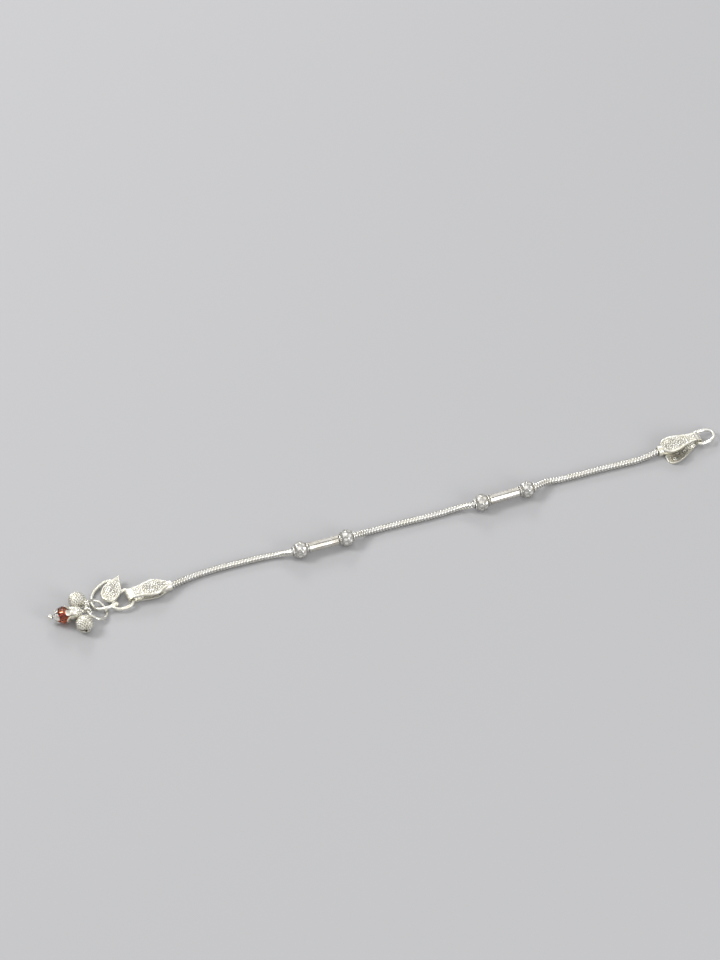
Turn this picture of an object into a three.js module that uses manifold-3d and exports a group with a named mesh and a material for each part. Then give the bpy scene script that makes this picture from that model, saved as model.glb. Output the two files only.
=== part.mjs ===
// A payal anklet laid open on a flat surface: a snake chain with two bead-and-tube stations,
// a folded leaf cap on each end, an oval ring on the right cap, and on the left cap a leaf
// hook whose jump ring carries two small bells and a red stone drop.
// Millimetres. +X runs along the strand towards the oval ring, +Z is up, the surface is z = 0.

import * as THREE from 'three';
import { mergeVertices } from 'three/addons/utils/BufferGeometryUtils.js';
import Module from 'manifold-3d';

const wasm = await Module();
wasm.setup();

// Driving dimensions
const fold_to_fold = 240;          // between the two cap folds, along the strand
const clearance = 0.3;             // between pieces that touch
const chain_diameter = 2.6;
const chain_insert = 3.2;          // length of chain held inside a ferrule
const bead_diameter = 6.8;
const bead_length = 6.2;
const bead_panel_depth = 0.35;     // how far the cut windows lie inside the round form
const tube_diameter = 4.3;
const tube_length = 12.6;
const tube_flute_depth = 0.25;
const sheet = 0.7;                 // thickness of the folded leaves
const cap_length = 15.2;           // fold centre to leaf tip
const cap_width = 7.8;
const cap_rim_height = 0.3;
const ferrule_wall = 0.5;
const ferrule_length = 5.2;
const ferrule_neck = 1.5;          // part of the ferrule that stands out past the leaf tip
const fold_play = 0.75;            // space round the wire inside a fold
const right_splay = 20;            // degrees that the right cap's lower leaf is turned aside
const granule_diameter = 0.9;
const hook_wire = 1.4;
const hook_link_length = 8.6;      // closed link through the left cap's fold
const hook_link_width = 7.9;
const hook_arc_length = 11.4;      // open arc that the jump ring hangs on
const hook_arc_width = 11.6;
const leaf_length = 13.8;          // plate soldered on the hook
const leaf_width = 7.6;
const leaf_thickness = 0.9;
const end_ring_wire = 1.4;
const end_ring_length = 9.2;
const end_ring_width = 7.8;
const jump_ring_wire = 1.2;
const jump_ring_diameter = 10.6;
const jump_ring_tilt = 28;         // degrees, high on the side of the drops
const jump_ring_low_side = -12;    // degrees round the ring to its lowest point
const bell_diameter = 6.8;
const bell_wall = 0.5;
const bell_band = 0.3;             // how far the seam band stands out
const bell_slit = 0.8;
const bell_loop_wire = 0.7;
const bell_loop_play = 0.45;       // space round the jump ring's wire inside a bell's loop
const stone_diameter = 7.4;
const stone_length = 6;
const stone_table = 3.6;
const pin_diameter = 0.8;
const pin_ball_diameter = 2.4;
const pin_eye_play = 0.35;
const collar_diameter = 4.4;       // granulated collar of the upper bead cap
const upper_cap_reach = 2.0;       // how far the upper cap's petals reach over the stone
const lower_cap_reach = 1.3;
const bead_cap_wall = 0.45;

// Facets
const CHAIN_SIDES = 10;
const CHAIN_STEPS = 78;
const ROUND = 16;
const WIRE_SIDES = 8;
const FINE_WIRE_SIDES = 6;
const LOOP_STEPS = 30;
const ARC_STEPS = 26;
const JUMP_RING_STEPS = 24;
const FOLD_STEPS = 6;
const SMALL_BALL = { around: 12, rows: 8 };
const STONE_SIDES = 10;

const chain_radius = chain_diameter / 2;
const bead_radius = bead_diameter / 2;
const bore_radius = chain_radius + clearance;
const fold_gap = hook_wire + 2 * fold_play;
const fold_height = fold_gap / 2 + sheet;
const station_spacing = tube_length + bead_length + 2 * clearance;

const silver = { color: 0xe9e6de, roughness: 0.28, metalness: 1.0 };
const frosted = { color: 0xe4e0d4, roughness: 0.5, metalness: 1.0 };
const garnet = { color: 0xb3200f, roughness: 0.08, metalness: 0.0 };

// Ends and stations of the strand: place along it as a share of fold_to_fold, sideways place
// as a share of the bead's diameter, heading in degrees
const LEFT_CAP = { along: -0.5, aside: -0.38, heading: 1 };
const RIGHT_CAP = { along: 0.5, aside: 0.43, heading: 185 };
const LEFT_STATION = { along: -0.1642, aside: -0.33, heading: 0.3 };
const RIGHT_STATION = { along: 0.1548, aside: -0.24, heading: 2 };

// Route of the chain where it lies free: along and aside as above, lift is 0 on the surface
// and 1 at the height of a bead's bore
const LEFT_RUN = [
  { along: -0.407, aside: -0.13, lift: 0.12 },
  { along: -0.377, aside: 0.04, lift: 0 },
  { along: -0.342, aside: 0.10, lift: 0 },
  { along: -0.306, aside: 0.10, lift: 0 },
  { along: -0.270, aside: 0.07, lift: 0 },
  { along: -0.240, aside: -0.04, lift: 0.1 },
];
const MIDDLE_RUN = [
  { along: -0.087, aside: -0.12, lift: 0.22 },
  { along: -0.064, aside: -0.06, lift: 0 },
  { along: -0.018, aside: -0.07, lift: 0 },
  { along: 0.013, aside: -0.09, lift: 0 },
  { along: 0.044, aside: -0.09, lift: 0 },
  { along: 0.078, aside: -0.07, lift: 0.2 },
];
const RIGHT_RUN = [
  { along: 0.234, aside: 0.14, lift: 0.3 },
  { along: 0.256, aside: 0.13, lift: 0.02 },
  { along: 0.290, aside: 0.12, lift: 0 },
  { along: 0.327, aside: 0.13, lift: 0 },
  { along: 0.367, aside: 0.09, lift: 0 },
  { along: 0.400, aside: 0.09, lift: 0.05 },
];

// Outline of a cap's leaf: distance from the fold as a share of cap_length, half width as a
// share of half cap_width
const POINTED_LEAF = [
  { along: 0, half: 0.62 },
  { along: 0.16, half: 0.66 },
  { along: 0.34, half: 0.80 },
  { along: 0.50, half: 0.95 },
  { along: 0.62, half: 1 },
  { along: 0.74, half: 0.88 },
  { along: 0.84, half: 0.64 },
  { along: 0.92, half: 0.46 },
  { along: 1, half: 0.34 },
];
const ROUND_LEAF = [
  { along: 0, half: 0.50 },
  { along: 0.18, half: 0.56 },
  { along: 0.36, half: 0.72 },
  { along: 0.54, half: 0.92 },
  { along: 0.70, half: 1 },
  { along: 0.82, half: 0.95 },
  { along: 0.91, half: 0.76 },
  { along: 0.97, half: 0.50 },
  { along: 1, half: 0.28 },
];

// Across a leaf: place as a share of the half width, height of the outer face as a share of
// the rim's height
const LEAF_SECTION = [
  { across: -1, height: 1 },
  { across: -0.8, height: 0 },
  { across: 0, height: 0.9 },
  { across: 0.8, height: 0 },
  { across: 1, height: 1 },
];

// Raised bar across a cap's upper leaf, as shares of cap_length
const CAP_BAR = { along: 0.3, reach: 0.07 };

// Scrolls of granules: centre as a share of the leaf's length, reach as a share of its width,
// and the height of the granules' middles over the leaf as a share of the rim's height
const CAP_SCROLL = { along: 0.62, reach: 0.33, lift: 0.6 };
const HOOK_SCROLL = { along: 0.4, reach: 0.34, lift: 0.7 };
const SCROLL_GRANULES = 7;
const SCROLL_TURN = 400;           // degrees from the first granule to the last
const SCROLL_TAPER = 0.05;         // share of its size that each granule loses

// Outline of the plate on the hook from its round foot to its tip: along as a share of
// leaf_length, half width as a share of half leaf_width
const HOOK_LEAF = [
  { along: 0, half: 0.22 },
  { along: 0.05, half: 0.50 },
  { along: 0.14, half: 0.80 },
  { along: 0.27, half: 0.98 },
  { along: 0.42, half: 1 },
  { along: 0.58, half: 0.86 },
  { along: 0.74, half: 0.58 },
  { along: 0.88, half: 0.28 },
  { along: 1, half: 0.06 },
];

// Closed link of the hook from the fold's centre: back as a share of hook_link_length,
// aside as a share of hook_link_width, lift is 0 on the surface and 1 at the fold's centre
const LINK_ROUTE = [
  { back: 0, aside: 0.27, lift: 1 },
  { back: 0, aside: -0.27, lift: 1 },
  { back: 0.12, aside: -0.50, lift: 0.9 },
  { back: 0.42, aside: -0.60, lift: 0.7 },
  { back: 0.80, aside: -0.56, lift: 0.7 },
  { back: 1, aside: -0.36, lift: 0.9 },
  { back: 0.88, aside: -0.06, lift: 1 },
  { back: 0.60, aside: 0.24, lift: 1 },
  { back: 0.32, aside: 0.46, lift: 1 },
  { back: 0.09, aside: 0.44, lift: 1 },
];

// Open arc of the hook from the far side of its link: back as a share of hook_arc_length,
// aside as a share of hook_arc_width, lift as above
const ARC_ROUTE = [
  { back: 0.0, aside: 0.80, lift: 1 },
  { back: 0.24, aside: 0.92, lift: 0.7 },
  { back: 0.58, aside: 0.82, lift: 0.25 },
  { back: 0.86, aside: 0.60, lift: 0.06 },
  { back: 0.99, aside: 0.34, lift: 0.03 },
  { back: 1.03, aside: 0.14, lift: 0.03 },
  { back: 0.98, aside: -0.04, lift: 0.15 },
  { back: 0.82, aside: -0.19, lift: 0.75 },
  { back: 0.62, aside: -0.25, lift: 1.2 },
  { back: 0.41, aside: -0.22, lift: 1.15 },
  { back: 0.24, aside: -0.18, lift: 1 },
];

// Foot of the plate and centre of the jump ring from the left cap's fold, as shares of the
// link's and the arc's length and width, and the plate's heading in degrees
const LEAF_FOOT = { back: 1.24, aside: -0.02, heading: 51 };
const JUMP_RING_SEAT = { back: 0.99, aside: -0.23 };

// Oval ring from its side in the fold, as shares of its half length and half width
const OVAL_HALF = [[-1, 0.4], [-0.93, 0.82], [-0.62, 1], [-0.1, 1], [0.5, 0.86], [0.9, 0.48]];
const OVAL_END = [1, 0];

// Slit across a bell, as shares of its diameter
const SLIT = { depth: 0.45, length: 0.62 };

// Where the jump ring's wire carries the drops, in degrees round the ring: the stone drop's
// place, each bell's place from it, and how far each drop leans from the line out of the ring
const PIN_SEAT = { on_ring: 190, lean: -19.5 };
const BELL_SEATS = [
  { from_pin: -40, lean: -26 },
  { from_pin: 31, lean: -1.5 },
];

const radians = THREE.MathUtils.degToRad;
const group = new THREE.Group();

function heading(degrees) {
  return new THREE.Vector3(Math.cos(radians(degrees)), Math.sin(radians(degrees)), 0);
}

function strandPoint(place, height) {
  return new THREE.Vector3(place.along * fold_to_fold, place.aside * bead_diameter, height);
}

function rise(lift, low, high) {
  return low + lift * (high - low);
}

function addPiece(name, geometry, material) {
  const mesh = new THREE.Mesh(geometry, new THREE.MeshStandardMaterial(material));
  mesh.name = name;
  group.add(mesh);
}

// Closed body from a list of rings with the same number of points each, capped at both ends
function loft(rings) {
  const count = rings[0].length;
  const positions = rings.flat().flatMap((point) => point.toArray());
  const faces = [];
  for (let i = 0; i + 1 < rings.length; i += 1) {
    for (let j = 0; j < count; j += 1) {
      const a = i * count + j;
      const b = i * count + (j + 1) % count;
      faces.push(a, b, a + count, b, b + count, a + count);
    }
  }
  const last = (rings.length - 1) * count;
  const outline = (ring) => {
    const middle = positions.length / 3;
    const centre = ring.reduce((sum, point) => sum.add(point), new THREE.Vector3());
    positions.push(...centre.divideScalar(count).toArray());
    return middle;
  };
  const first_middle = outline(rings[0]);
  const last_middle = outline(rings[rings.length - 1]);
  for (let j = 0; j < count; j += 1) {
    faces.push(first_middle, (j + 1) % count, j);
    faces.push(last_middle, last + j, last + (j + 1) % count);
  }
  const geometry = new THREE.BufferGeometry();
  geometry.setAttribute('position', new THREE.Float32BufferAttribute(positions, 3));
  geometry.setIndex(faces);
  return geometry;
}

function solid(geometry) {
  const plain = geometry.clone();
  plain.deleteAttribute('normal');
  plain.deleteAttribute('uv');
  const merged = mergeVertices(plain, 1e-4);
  const corners = merged.index.array;
  const points = merged.attributes.position;
  const at = (k) => new THREE.Vector3().fromBufferAttribute(points, corners[k]);
  const used = [];
  let volume = 0;
  for (let k = 0; k < corners.length; k += 3) {
    const distinct = new Set([corners[k], corners[k + 1], corners[k + 2]]);
    if (distinct.size === 3) {
      used.push(corners[k], corners[k + 1], corners[k + 2]);
      volume += at(k).dot(at(k + 1).cross(at(k + 2)));
    }
  }
  const outward = volume > 0 ? used : used.reverse();
  const mesh = new wasm.Mesh({
    numProp: 3,
    vertProperties: new Float32Array(points.array),
    triVerts: new Uint32Array(outward),
  });
  return new wasm.Manifold(mesh);
}

function geometryOf(manifold) {
  const mesh = manifold.getMesh();
  const geometry = new THREE.BufferGeometry();
  geometry.setAttribute('position', new THREE.BufferAttribute(new Float32Array(mesh.vertProperties), 3));
  geometry.setIndex(new THREE.BufferAttribute(new Uint32Array(mesh.triVerts), 1));
  return geometry;
}

function joined(geometries) {
  return geometries.map(solid).reduce((sum, piece) => sum.add(piece));
}

function circle(radius, sides) {
  const points = Array.from({ length: sides }, (_, k) => {
    const turn = (k + 0.5) / sides * 2 * Math.PI;
    return new THREE.Vector2(radius * Math.cos(turn), radius * Math.sin(turn));
  });
  return new THREE.Shape(points);
}

// Round wire with flat ends along an open curve
function openWire(points, radius, sides, steps) {
  const curve = new THREE.CatmullRomCurve3(points);
  return new THREE.ExtrudeGeometry(circle(radius, sides), { extrudePath: curve, steps, bevelEnabled: false });
}

// Round wire along a curve that closes on itself
function closedWire(points, radius, sides, steps) {
  const curve = new THREE.CatmullRomCurve3(points, true);
  return new THREE.TubeGeometry(curve, steps, radius, sides, true);
}

// Body turned round +X from a profile of [along, radius] pairs
function turned(profile, sides) {
  const points = profile.map(([along, radius]) => new THREE.Vector2(radius, along));
  const geometry = new THREE.LatheGeometry(points, sides);
  geometry.rotateZ(-Math.PI / 2);
  return geometry;
}

function pipe(from, to, inner, outer, sides) {
  return turned([[from, inner], [from, outer], [to, outer], [to, inner], [from, inner]], sides);
}

function rod(from, to, radius, sides) {
  return turned([[from, 0], [from, radius], [to, radius], [to, 0]], sides);
}

// Puts a body that was made along +X at a point, with +X turned to a direction
function placed(geometry, point, direction) {
  const turn = new THREE.Quaternion();
  const flat = new THREE.Vector3(direction.x, direction.y, 0).normalize();
  const side = new THREE.Vector3(-flat.y, flat.x, 0);
  const forward = direction.clone().normalize();
  const up = new THREE.Vector3().crossVectors(forward, side);
  turn.setFromRotationMatrix(new THREE.Matrix4().makeBasis(forward, side, up));
  return geometry.clone().applyQuaternion(turn).translate(point.x, point.y, point.z);
}

function smallBall(radius) {
  return new THREE.SphereGeometry(radius, SMALL_BALL.around, SMALL_BALL.rows);
}

function granule(diameter) {
  return new THREE.SphereGeometry(diameter / 2, FINE_WIRE_SIDES, FINE_WIRE_SIDES / 2);
}

// Granules in a spiral scroll on a leaf along +X whose outer face is at height top
function scroll(place, length, width, top) {
  return Array.from({ length: SCROLL_GRANULES }, (_, k) => {
    const share = k / (SCROLL_GRANULES - 1);
    const turn = radians(SCROLL_TURN * share);
    const reach = place.reach * width * share;
    const x = place.along * length + reach * Math.cos(turn);
    const y = reach * Math.sin(turn);
    const size = granule_diameter * (1 - SCROLL_TAPER * k);
    return granule(size).translate(x, y, top + place.lift * cap_rim_height);
  });
}

// The snake chain

const cap_centre = fold_height;
const left_fold = strandPoint(LEFT_CAP, cap_centre);
const right_fold = strandPoint(RIGHT_CAP, cap_centre);
const mouth = cap_length + ferrule_neck;

function ferruleRun(fold, degrees) {
  const forward = heading(degrees);
  return [mouth - chain_insert, mouth].map((along) => fold.clone().addScaledVector(forward, along));
}

function stationRun(station) {
  const centre = strandPoint(station, bead_radius);
  const forward = heading(station.heading);
  const bead = station_spacing / 2;
  const end = bead + bead_length / 2 + clearance;
  return [-end, -bead, 0, bead, end].map((along) => centre.clone().addScaledVector(forward, along));
}

function freeRun(rows) {
  return rows.map((row) => strandPoint(row, rise(row.lift, chain_radius, bead_radius)));
}

const chain_points = [
  ...ferruleRun(left_fold, LEFT_CAP.heading),
  ...freeRun(LEFT_RUN),
  ...stationRun(LEFT_STATION),
  ...freeRun(MIDDLE_RUN),
  ...stationRun(RIGHT_STATION),
  ...freeRun(RIGHT_RUN),
  ...ferruleRun(right_fold, RIGHT_CAP.heading).reverse(),
];
addPiece('snake_chain', openWire(chain_points, chain_radius, CHAIN_SIDES, CHAIN_STEPS), silver);

// Beads and tubes of the stations

// Drilled round bead whose surface is cut back into flat windows between narrow ridges
function beadGeometry() {
  const rows = [0.98, 0.66, 0.3, -0.3, -0.66, -0.98];
  const windows = ROUND / 2;
  const rings = rows.map((share) => {
    const along = share * bead_length / 2;
    const round = bead_radius * Math.sqrt(1 - (along / bead_radius) ** 2);
    return Array.from({ length: ROUND }, (_, k) => {
      const turn = k / ROUND * 2 * Math.PI;
      const cut = k % 2 === 0 ? 0 : bead_panel_depth * Math.cos(Math.PI / windows);
      const radius = Math.max(round - cut, bore_radius + clearance);
      return new THREE.Vector3(along, radius * Math.cos(turn), radius * Math.sin(turn));
    });
  });
  const bore = rod(-bead_length, bead_length, bore_radius, ROUND);
  return geometryOf(solid(loft(rings)).subtract(solid(bore)));
}

function tubeGeometry() {
  const flutes = ROUND / 2;
  const rings = [-1, -0.92, 0.92, 1].map((share) => {
    const end = Math.abs(share) === 1;
    return Array.from({ length: ROUND }, (_, k) => {
      const turn = k / ROUND * 2 * Math.PI;
      const ridge = tube_diameter / 2 - (end ? tube_flute_depth : 0);
      const radius = k % 2 === 0 ? ridge : tube_diameter / 2 - tube_flute_depth;
      return new THREE.Vector3(
        share * tube_length / 2,
        radius * Math.cos(turn + Math.PI / flutes),
        radius * Math.sin(turn + Math.PI / flutes),
      );
    });
  });
  const bore = rod(-tube_length, tube_length, bore_radius, ROUND);
  return geometryOf(solid(loft(rings)).subtract(solid(bore)));
}

const bead_form = beadGeometry();
const tube_form = tubeGeometry();
[LEFT_STATION, RIGHT_STATION].forEach((station, index) => {
  const centre = strandPoint(station, bead_radius);
  const forward = heading(station.heading);
  [-1, 1].forEach((side, place) => {
    const point = centre.clone().addScaledVector(forward, side * station_spacing / 2);
    addPiece(`bead_${2 * index + place + 1}`, placed(bead_form, point, forward), silver);
  });
  addPiece(`tube_${index + 1}`, placed(tube_form, centre, forward), silver);
});

// Folded leaf caps

function smooth(share) {
  return share * share * (3 - 2 * share);
}

// A strip with a leaf at each end, folded in half round the wire. The fold's centre is the
// origin, the leaves run along +X, and the lower leaf is turned aside by splay degrees
function foldedStrip(outline, splay) {
  const middle = fold_gap / 2 + sheet / 2;
  const half_width = cap_width / 2;
  const rows = [];
  [...outline].reverse().forEach((row) => {
    rows.push({ x: row.along * cap_length, z: -middle, nx: 0, nz: -1, row, turn: 1 });
  });
  for (let k = 1; k < FOLD_STEPS; k += 1) {
    const share = k / FOLD_STEPS;
    const angle = -Math.PI / 2 - share * Math.PI;
    const nx = Math.cos(angle);
    const nz = Math.sin(angle);
    const turn = 1 - smooth(Math.min(1, 2 * share));
    rows.push({ x: middle * nx, z: middle * nz, nx, nz, row: outline[0], turn });
  }
  outline.forEach((row) => {
    rows.push({ x: row.along * cap_length, z: middle, nx: 0, nz: 1, row, turn: 0 });
  });
  return loft(rows.map(({ x, z, nx, nz, row, turn }) => {
    const upper = turn === 0;
    const bar = upper && Math.abs(row.along - CAP_BAR.along) < CAP_BAR.reach ? 1 : 0;
    const skin = (offset) => LEAF_SECTION.map(({ across, height }) => {
      const relief = upper && offset > 0 ? cap_rim_height * Math.max(height, bar) : 0;
      const reach = offset * sheet / 2 + relief;
      const point = new THREE.Vector3(x + nx * reach, across * row.half * half_width, z + nz * reach);
      return point.applyAxisAngle(new THREE.Vector3(0, 0, 1), radians(splay * turn));
    });
    return [...skin(1), ...skin(-1).reverse()];
  }));
}

function capGeometry(outline, splay) {
  const outer = bore_radius + ferrule_wall;
  const ferrule = pipe(mouth - ferrule_length, mouth, bore_radius, outer, ROUND);
  const relief = scroll(CAP_SCROLL, cap_length, cap_width, fold_height);
  const bore = rod(mouth - ferrule_length, mouth + ferrule_neck, bore_radius, ROUND);
  const leaves = joined([foldedStrip(outline, splay), ferrule, ...relief]);
  return geometryOf(leaves.subtract(solid(bore)));
}

addPiece('end_cap_left', placed(capGeometry(POINTED_LEAF, 0), left_fold, heading(LEFT_CAP.heading)), frosted);
addPiece(
  'end_cap_right',
  placed(capGeometry(ROUND_LEAF, right_splay), right_fold, heading(RIGHT_CAP.heading)),
  frosted,
);

// Leaf hook: a closed link through the left cap's fold, an open arc and a plate on both

function hookPoints(route, length, width) {
  return route.map(({ back, aside, lift }) => new THREE.Vector3(
    left_fold.x - back * length,
    left_fold.y + aside * width,
    rise(lift, hook_wire / 2, cap_centre),
  ));
}

const arc_points = hookPoints(ARC_ROUTE, hook_arc_length, hook_arc_width);
arc_points.forEach((point) => {
  point.x -= hook_link_length / 2;
});
const link_wire = closedWire(
  hookPoints(LINK_ROUTE, hook_link_length, hook_link_width),
  hook_wire / 2,
  WIRE_SIDES,
  LOOP_STEPS,
);
const arc_wire = openWire(arc_points, hook_wire / 2, WIRE_SIDES, ARC_STEPS);

// The plate along +X from its foot, with its flat underside at z = 0
function hookLeaf() {
  const top = leaf_thickness;
  const rings = HOOK_LEAF.map(({ along, half }) => {
    const x = along * leaf_length;
    const y = half * leaf_width / 2;
    const skin = LEAF_SECTION.map(({ across, height }) => (
      new THREE.Vector3(x, across * y, top + cap_rim_height * height)
    ));
    return [...skin, new THREE.Vector3(x, y, 0), new THREE.Vector3(x, -y, 0)];
  });
  return [loft(rings), ...scroll(HOOK_SCROLL, leaf_length, leaf_width, top)];
}

const leaf_foot = new THREE.Vector3(
  left_fold.x - LEAF_FOOT.back * hook_link_length,
  left_fold.y + LEAF_FOOT.aside * hook_link_width,
  cap_centre + hook_wire / 4,
);
const leaf_pieces = hookLeaf().map((piece) => placed(piece, leaf_foot, heading(LEAF_FOOT.heading)));
addPiece('s_hook', geometryOf(joined([link_wire, arc_wire, ...leaf_pieces])), frosted);

// Oval ring in the right cap's fold

function ovalRing(length, width, wire) {
  const long = (length - wire) / 2;
  const short = (width - wire) / 2;
  const mirrored = OVAL_HALF.map(([x, y]) => [x, -y]).reverse();
  const shares = [...OVAL_HALF, OVAL_END, ...mirrored];
  const points = shares.map(([x, y]) => new THREE.Vector3(x * long + long, y * short, 0));
  return closedWire(points, wire / 2, WIRE_SIDES, LOOP_STEPS);
}

const ring_heading = heading(RIGHT_CAP.heading + 180);
const oval_ring = ovalRing(end_ring_length, end_ring_width, end_ring_wire);
addPiece('end_ring', placed(oval_ring, right_fold, ring_heading), silver);

// Jump ring through the hook's arc, low where it passes under the arc and high at the drops

const jump_radius = (jump_ring_diameter - jump_ring_wire) / 2;
const jump_lean = jump_radius * Math.sin(radians(jump_ring_tilt));
const jump_pose = new THREE.Matrix4().makeTranslation(
  left_fold.x - hook_link_length / 2 - JUMP_RING_SEAT.back * hook_arc_length,
  left_fold.y + JUMP_RING_SEAT.aside * hook_arc_width,
  jump_ring_wire / 2 + jump_lean,
);
jump_pose.multiply(new THREE.Matrix4().makeRotationZ(radians(jump_ring_low_side)));
jump_pose.multiply(new THREE.Matrix4().makeRotationY(radians(jump_ring_tilt)));

function onJumpRing(degrees) {
  const turn = heading(degrees - jump_ring_low_side).multiplyScalar(jump_radius);
  return turn.applyMatrix4(jump_pose);
}

const jump_ring = new THREE.TorusGeometry(
  jump_radius,
  jump_ring_wire / 2,
  FINE_WIRE_SIDES,
  JUMP_RING_STEPS,
);
addPiece('jump_ring', jump_ring.applyMatrix4(jump_pose), silver);

// Bells: hollow balls with a seam band, a slit with round ends and a loop

const bell_radius = bell_diameter / 2;
const bell_loop_radius = jump_ring_wire / 2 + bell_loop_play + bell_loop_wire / 2;
const bell_reach = bell_radius + bell_loop_radius;

// The ball's centre is the origin and its loop is centred on +X
function bellGeometry() {
  const ball = new THREE.SphereGeometry(bell_radius, ROUND, 10).rotateZ(Math.PI / 2);
  const hollow = smallBall(bell_radius - bell_wall).rotateZ(Math.PI / 2);
  const band = pipe(-bell_band, bell_band, bell_radius - bell_wall / 2, bell_radius + bell_band, ROUND);
  const loop = new THREE.TorusGeometry(bell_loop_radius, bell_loop_wire / 2, FINE_WIRE_SIDES, 12);
  loop.rotateX(Math.PI / 2).translate(bell_reach, 0, 0);
  const slit_depth = SLIT.depth * bell_diameter;
  const slit_length = SLIT.length * bell_diameter;
  const slit = new THREE.BoxGeometry(slit_depth, slit_length, bell_slit).translate(-bell_radius, 0, 0);
  const holes = [-1, 1].map((side) => (
    rod(-bell_diameter, -bell_radius / 2, bell_slit, WIRE_SIDES).translate(0, side * slit_length / 2, 0)
  ));
  const shell = solid(ball).add(solid(band)).subtract(solid(hollow));
  return geometryOf(shell.subtract(joined([slit, ...holes])).add(solid(loop)));
}

const bell_form = bellGeometry();
BELL_SEATS.forEach((seat, index) => {
  const on_ring = PIN_SEAT.on_ring + seat.from_pin;
  const held = onJumpRing(on_ring);
  const drop = held.z - bell_radius - bell_band;
  const level = Math.sqrt(bell_reach ** 2 - drop ** 2);
  const centre = held.clone().addScaledVector(heading(on_ring + seat.lean), level);
  centre.z = bell_radius + bell_band;
  addPiece(`bell_${index + 1}`, placed(bell_form, centre, held.clone().sub(centre)), frosted);
});

// Stone drop: a head pin with an eye and a ball end through two bead caps and a cut stone.
// Along +X from the eye's centre

const eye_radius = jump_ring_wire / 2 + pin_eye_play + pin_diameter / 2;
const pin_bore = pin_diameter / 2 + clearance;
const collar_start = eye_radius + pin_diameter / 2 + clearance;
const collar_end = collar_start + collar_diameter;
const stone_start = collar_end + clearance;
const stone_end = stone_start + stone_length;
const tip_start = stone_end + clearance + bead_cap_wall;

function headPin() {
  const eye = new THREE.TorusGeometry(eye_radius, pin_diameter / 2, FINE_WIRE_SIDES, 14).rotateX(Math.PI / 2);
  const ball_centre = tip_start + clearance + pin_ball_diameter / 2;
  const shaft = rod(eye_radius, ball_centre, pin_diameter / 2, WIRE_SIDES);
  const ball = smallBall(pin_ball_diameter / 2).translate(ball_centre, 0, 0);
  return geometryOf(joined([eye, shaft, ball]));
}

// Cut bead: crown, girdle and pavilion facets with a flat table at each end. Place along the
// stone as a share of its length, radius as a share of its own, turn in facets
const STONE_ROWS = [
  { along: 0, radius: stone_table / stone_diameter, turn: 0 },
  { along: 0.24, radius: 0.8, turn: 0.5 },
  { along: 0.5, radius: 1, turn: 0 },
  { along: 0.76, radius: 0.8, turn: 0.5 },
  { along: 1, radius: stone_table / stone_diameter, turn: 0 },
];

function stoneGeometry() {
  const rings = STONE_ROWS.map(({ along, radius, turn }) => Array.from({ length: STONE_SIDES }, (_, k) => {
    const angle = (k + turn) / STONE_SIDES * 2 * Math.PI;
    const reach = radius * stone_diameter / 2;
    return new THREE.Vector3(stone_start + along * stone_length, reach * Math.cos(angle), reach * Math.sin(angle));
  }));
  const bore = rod(stone_start - stone_length, stone_end + stone_length, pin_bore, WIRE_SIDES);
  return geometryOf(solid(loft(rings)).subtract(solid(bore)));
}

// Radius of the stone's round envelope at a distance from its table
function stoneRadius(distance) {
  const share = distance / stone_length;
  const next = Math.max(1, STONE_ROWS.findIndex((row) => row.along >= share));
  const low = STONE_ROWS[next - 1];
  const high = STONE_ROWS[next];
  const part = (share - low.along) / (high.along - low.along);
  return rise(part, low.radius, high.radius) * stone_diameter / 2;
}

// Flower cap whose petals follow the stone from its table, with their tips at reach
function petalCap(reach, petals) {
  const sides = 4 * petals;
  const notch = 0.55;
  const rows = [0, 0, 0.35, 0.7, 1];
  const skin = (wall) => rows.map((share, row) => Array.from({ length: sides }, (_, k) => {
    const angle = k / sides * 2 * Math.PI;
    const lobe = 0.5 + 0.5 * Math.cos(petals * angle);
    const along = share * reach * (1 - notch + notch * lobe);
    const over_stone = stoneRadius(along) + clearance + wall * (0.5 + 0.5 * share);
    const radius = row === 0 ? pin_bore + clearance : over_stone;
    const x = stone_start - clearance + along - wall * (1 - share);
    return new THREE.Vector3(x, radius * Math.cos(angle), radius * Math.sin(angle));
  }));
  return loft([...skin(bead_cap_wall), ...skin(0).reverse()]);
}

function drilled(pieces) {
  const bore = rod(0, tip_start + stone_length, pin_bore, WIRE_SIDES);
  return geometryOf(joined(pieces).subtract(solid(bore)));
}

function upperCap() {
  const collar_radius = collar_diameter / 2;
  const collar = smallBall(collar_radius).translate(collar_start + collar_radius, 0, 0);
  const grains = [];
  const around = 8;
  [-0.5, 0, 0.5].forEach((share, row) => {
    const ring = collar_radius * Math.sqrt(1 - share * share);
    for (let k = 0; k < around; k += 1) {
      const angle = (k + row / 2) / around * 2 * Math.PI;
      const x = collar_start + collar_radius * (1 + share);
      grains.push(granule(granule_diameter).translate(x, ring * Math.cos(angle), ring * Math.sin(angle)));
    }
  });
  return drilled([collar, petalCap(upper_cap_reach, 6), ...grains]);
}

function lowerCap() {
  const petals = petalCap(lower_cap_reach, 5);
  const middle_of_stone = (stone_start + stone_end) / 2;
  petals.translate(-middle_of_stone, 0, 0).rotateZ(Math.PI).translate(middle_of_stone, 0, 0);
  return drilled([petals]);
}

const eye_centre = onJumpRing(PIN_SEAT.on_ring);
const pin_heading = heading(PIN_SEAT.on_ring + PIN_SEAT.lean);
const stone_middle = stone_start + stone_length / 2;
const cap_radius = stoneRadius(Math.max(upper_cap_reach, lower_cap_reach)) + clearance + bead_cap_wall;
pin_heading.z = (Math.max(stone_diameter / 2, cap_radius) - eye_centre.z) / stone_middle;
addPiece('head_pin', placed(headPin(), eye_centre, pin_heading), silver);
addPiece('bead_cap_upper', placed(upperCap(), eye_centre, pin_heading), frosted);
addPiece('stone_bead', placed(stoneGeometry(), eye_centre, pin_heading), garnet);
addPiece('bead_cap_lower', placed(lowerCap(), eye_centre, pin_heading), silver);

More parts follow.
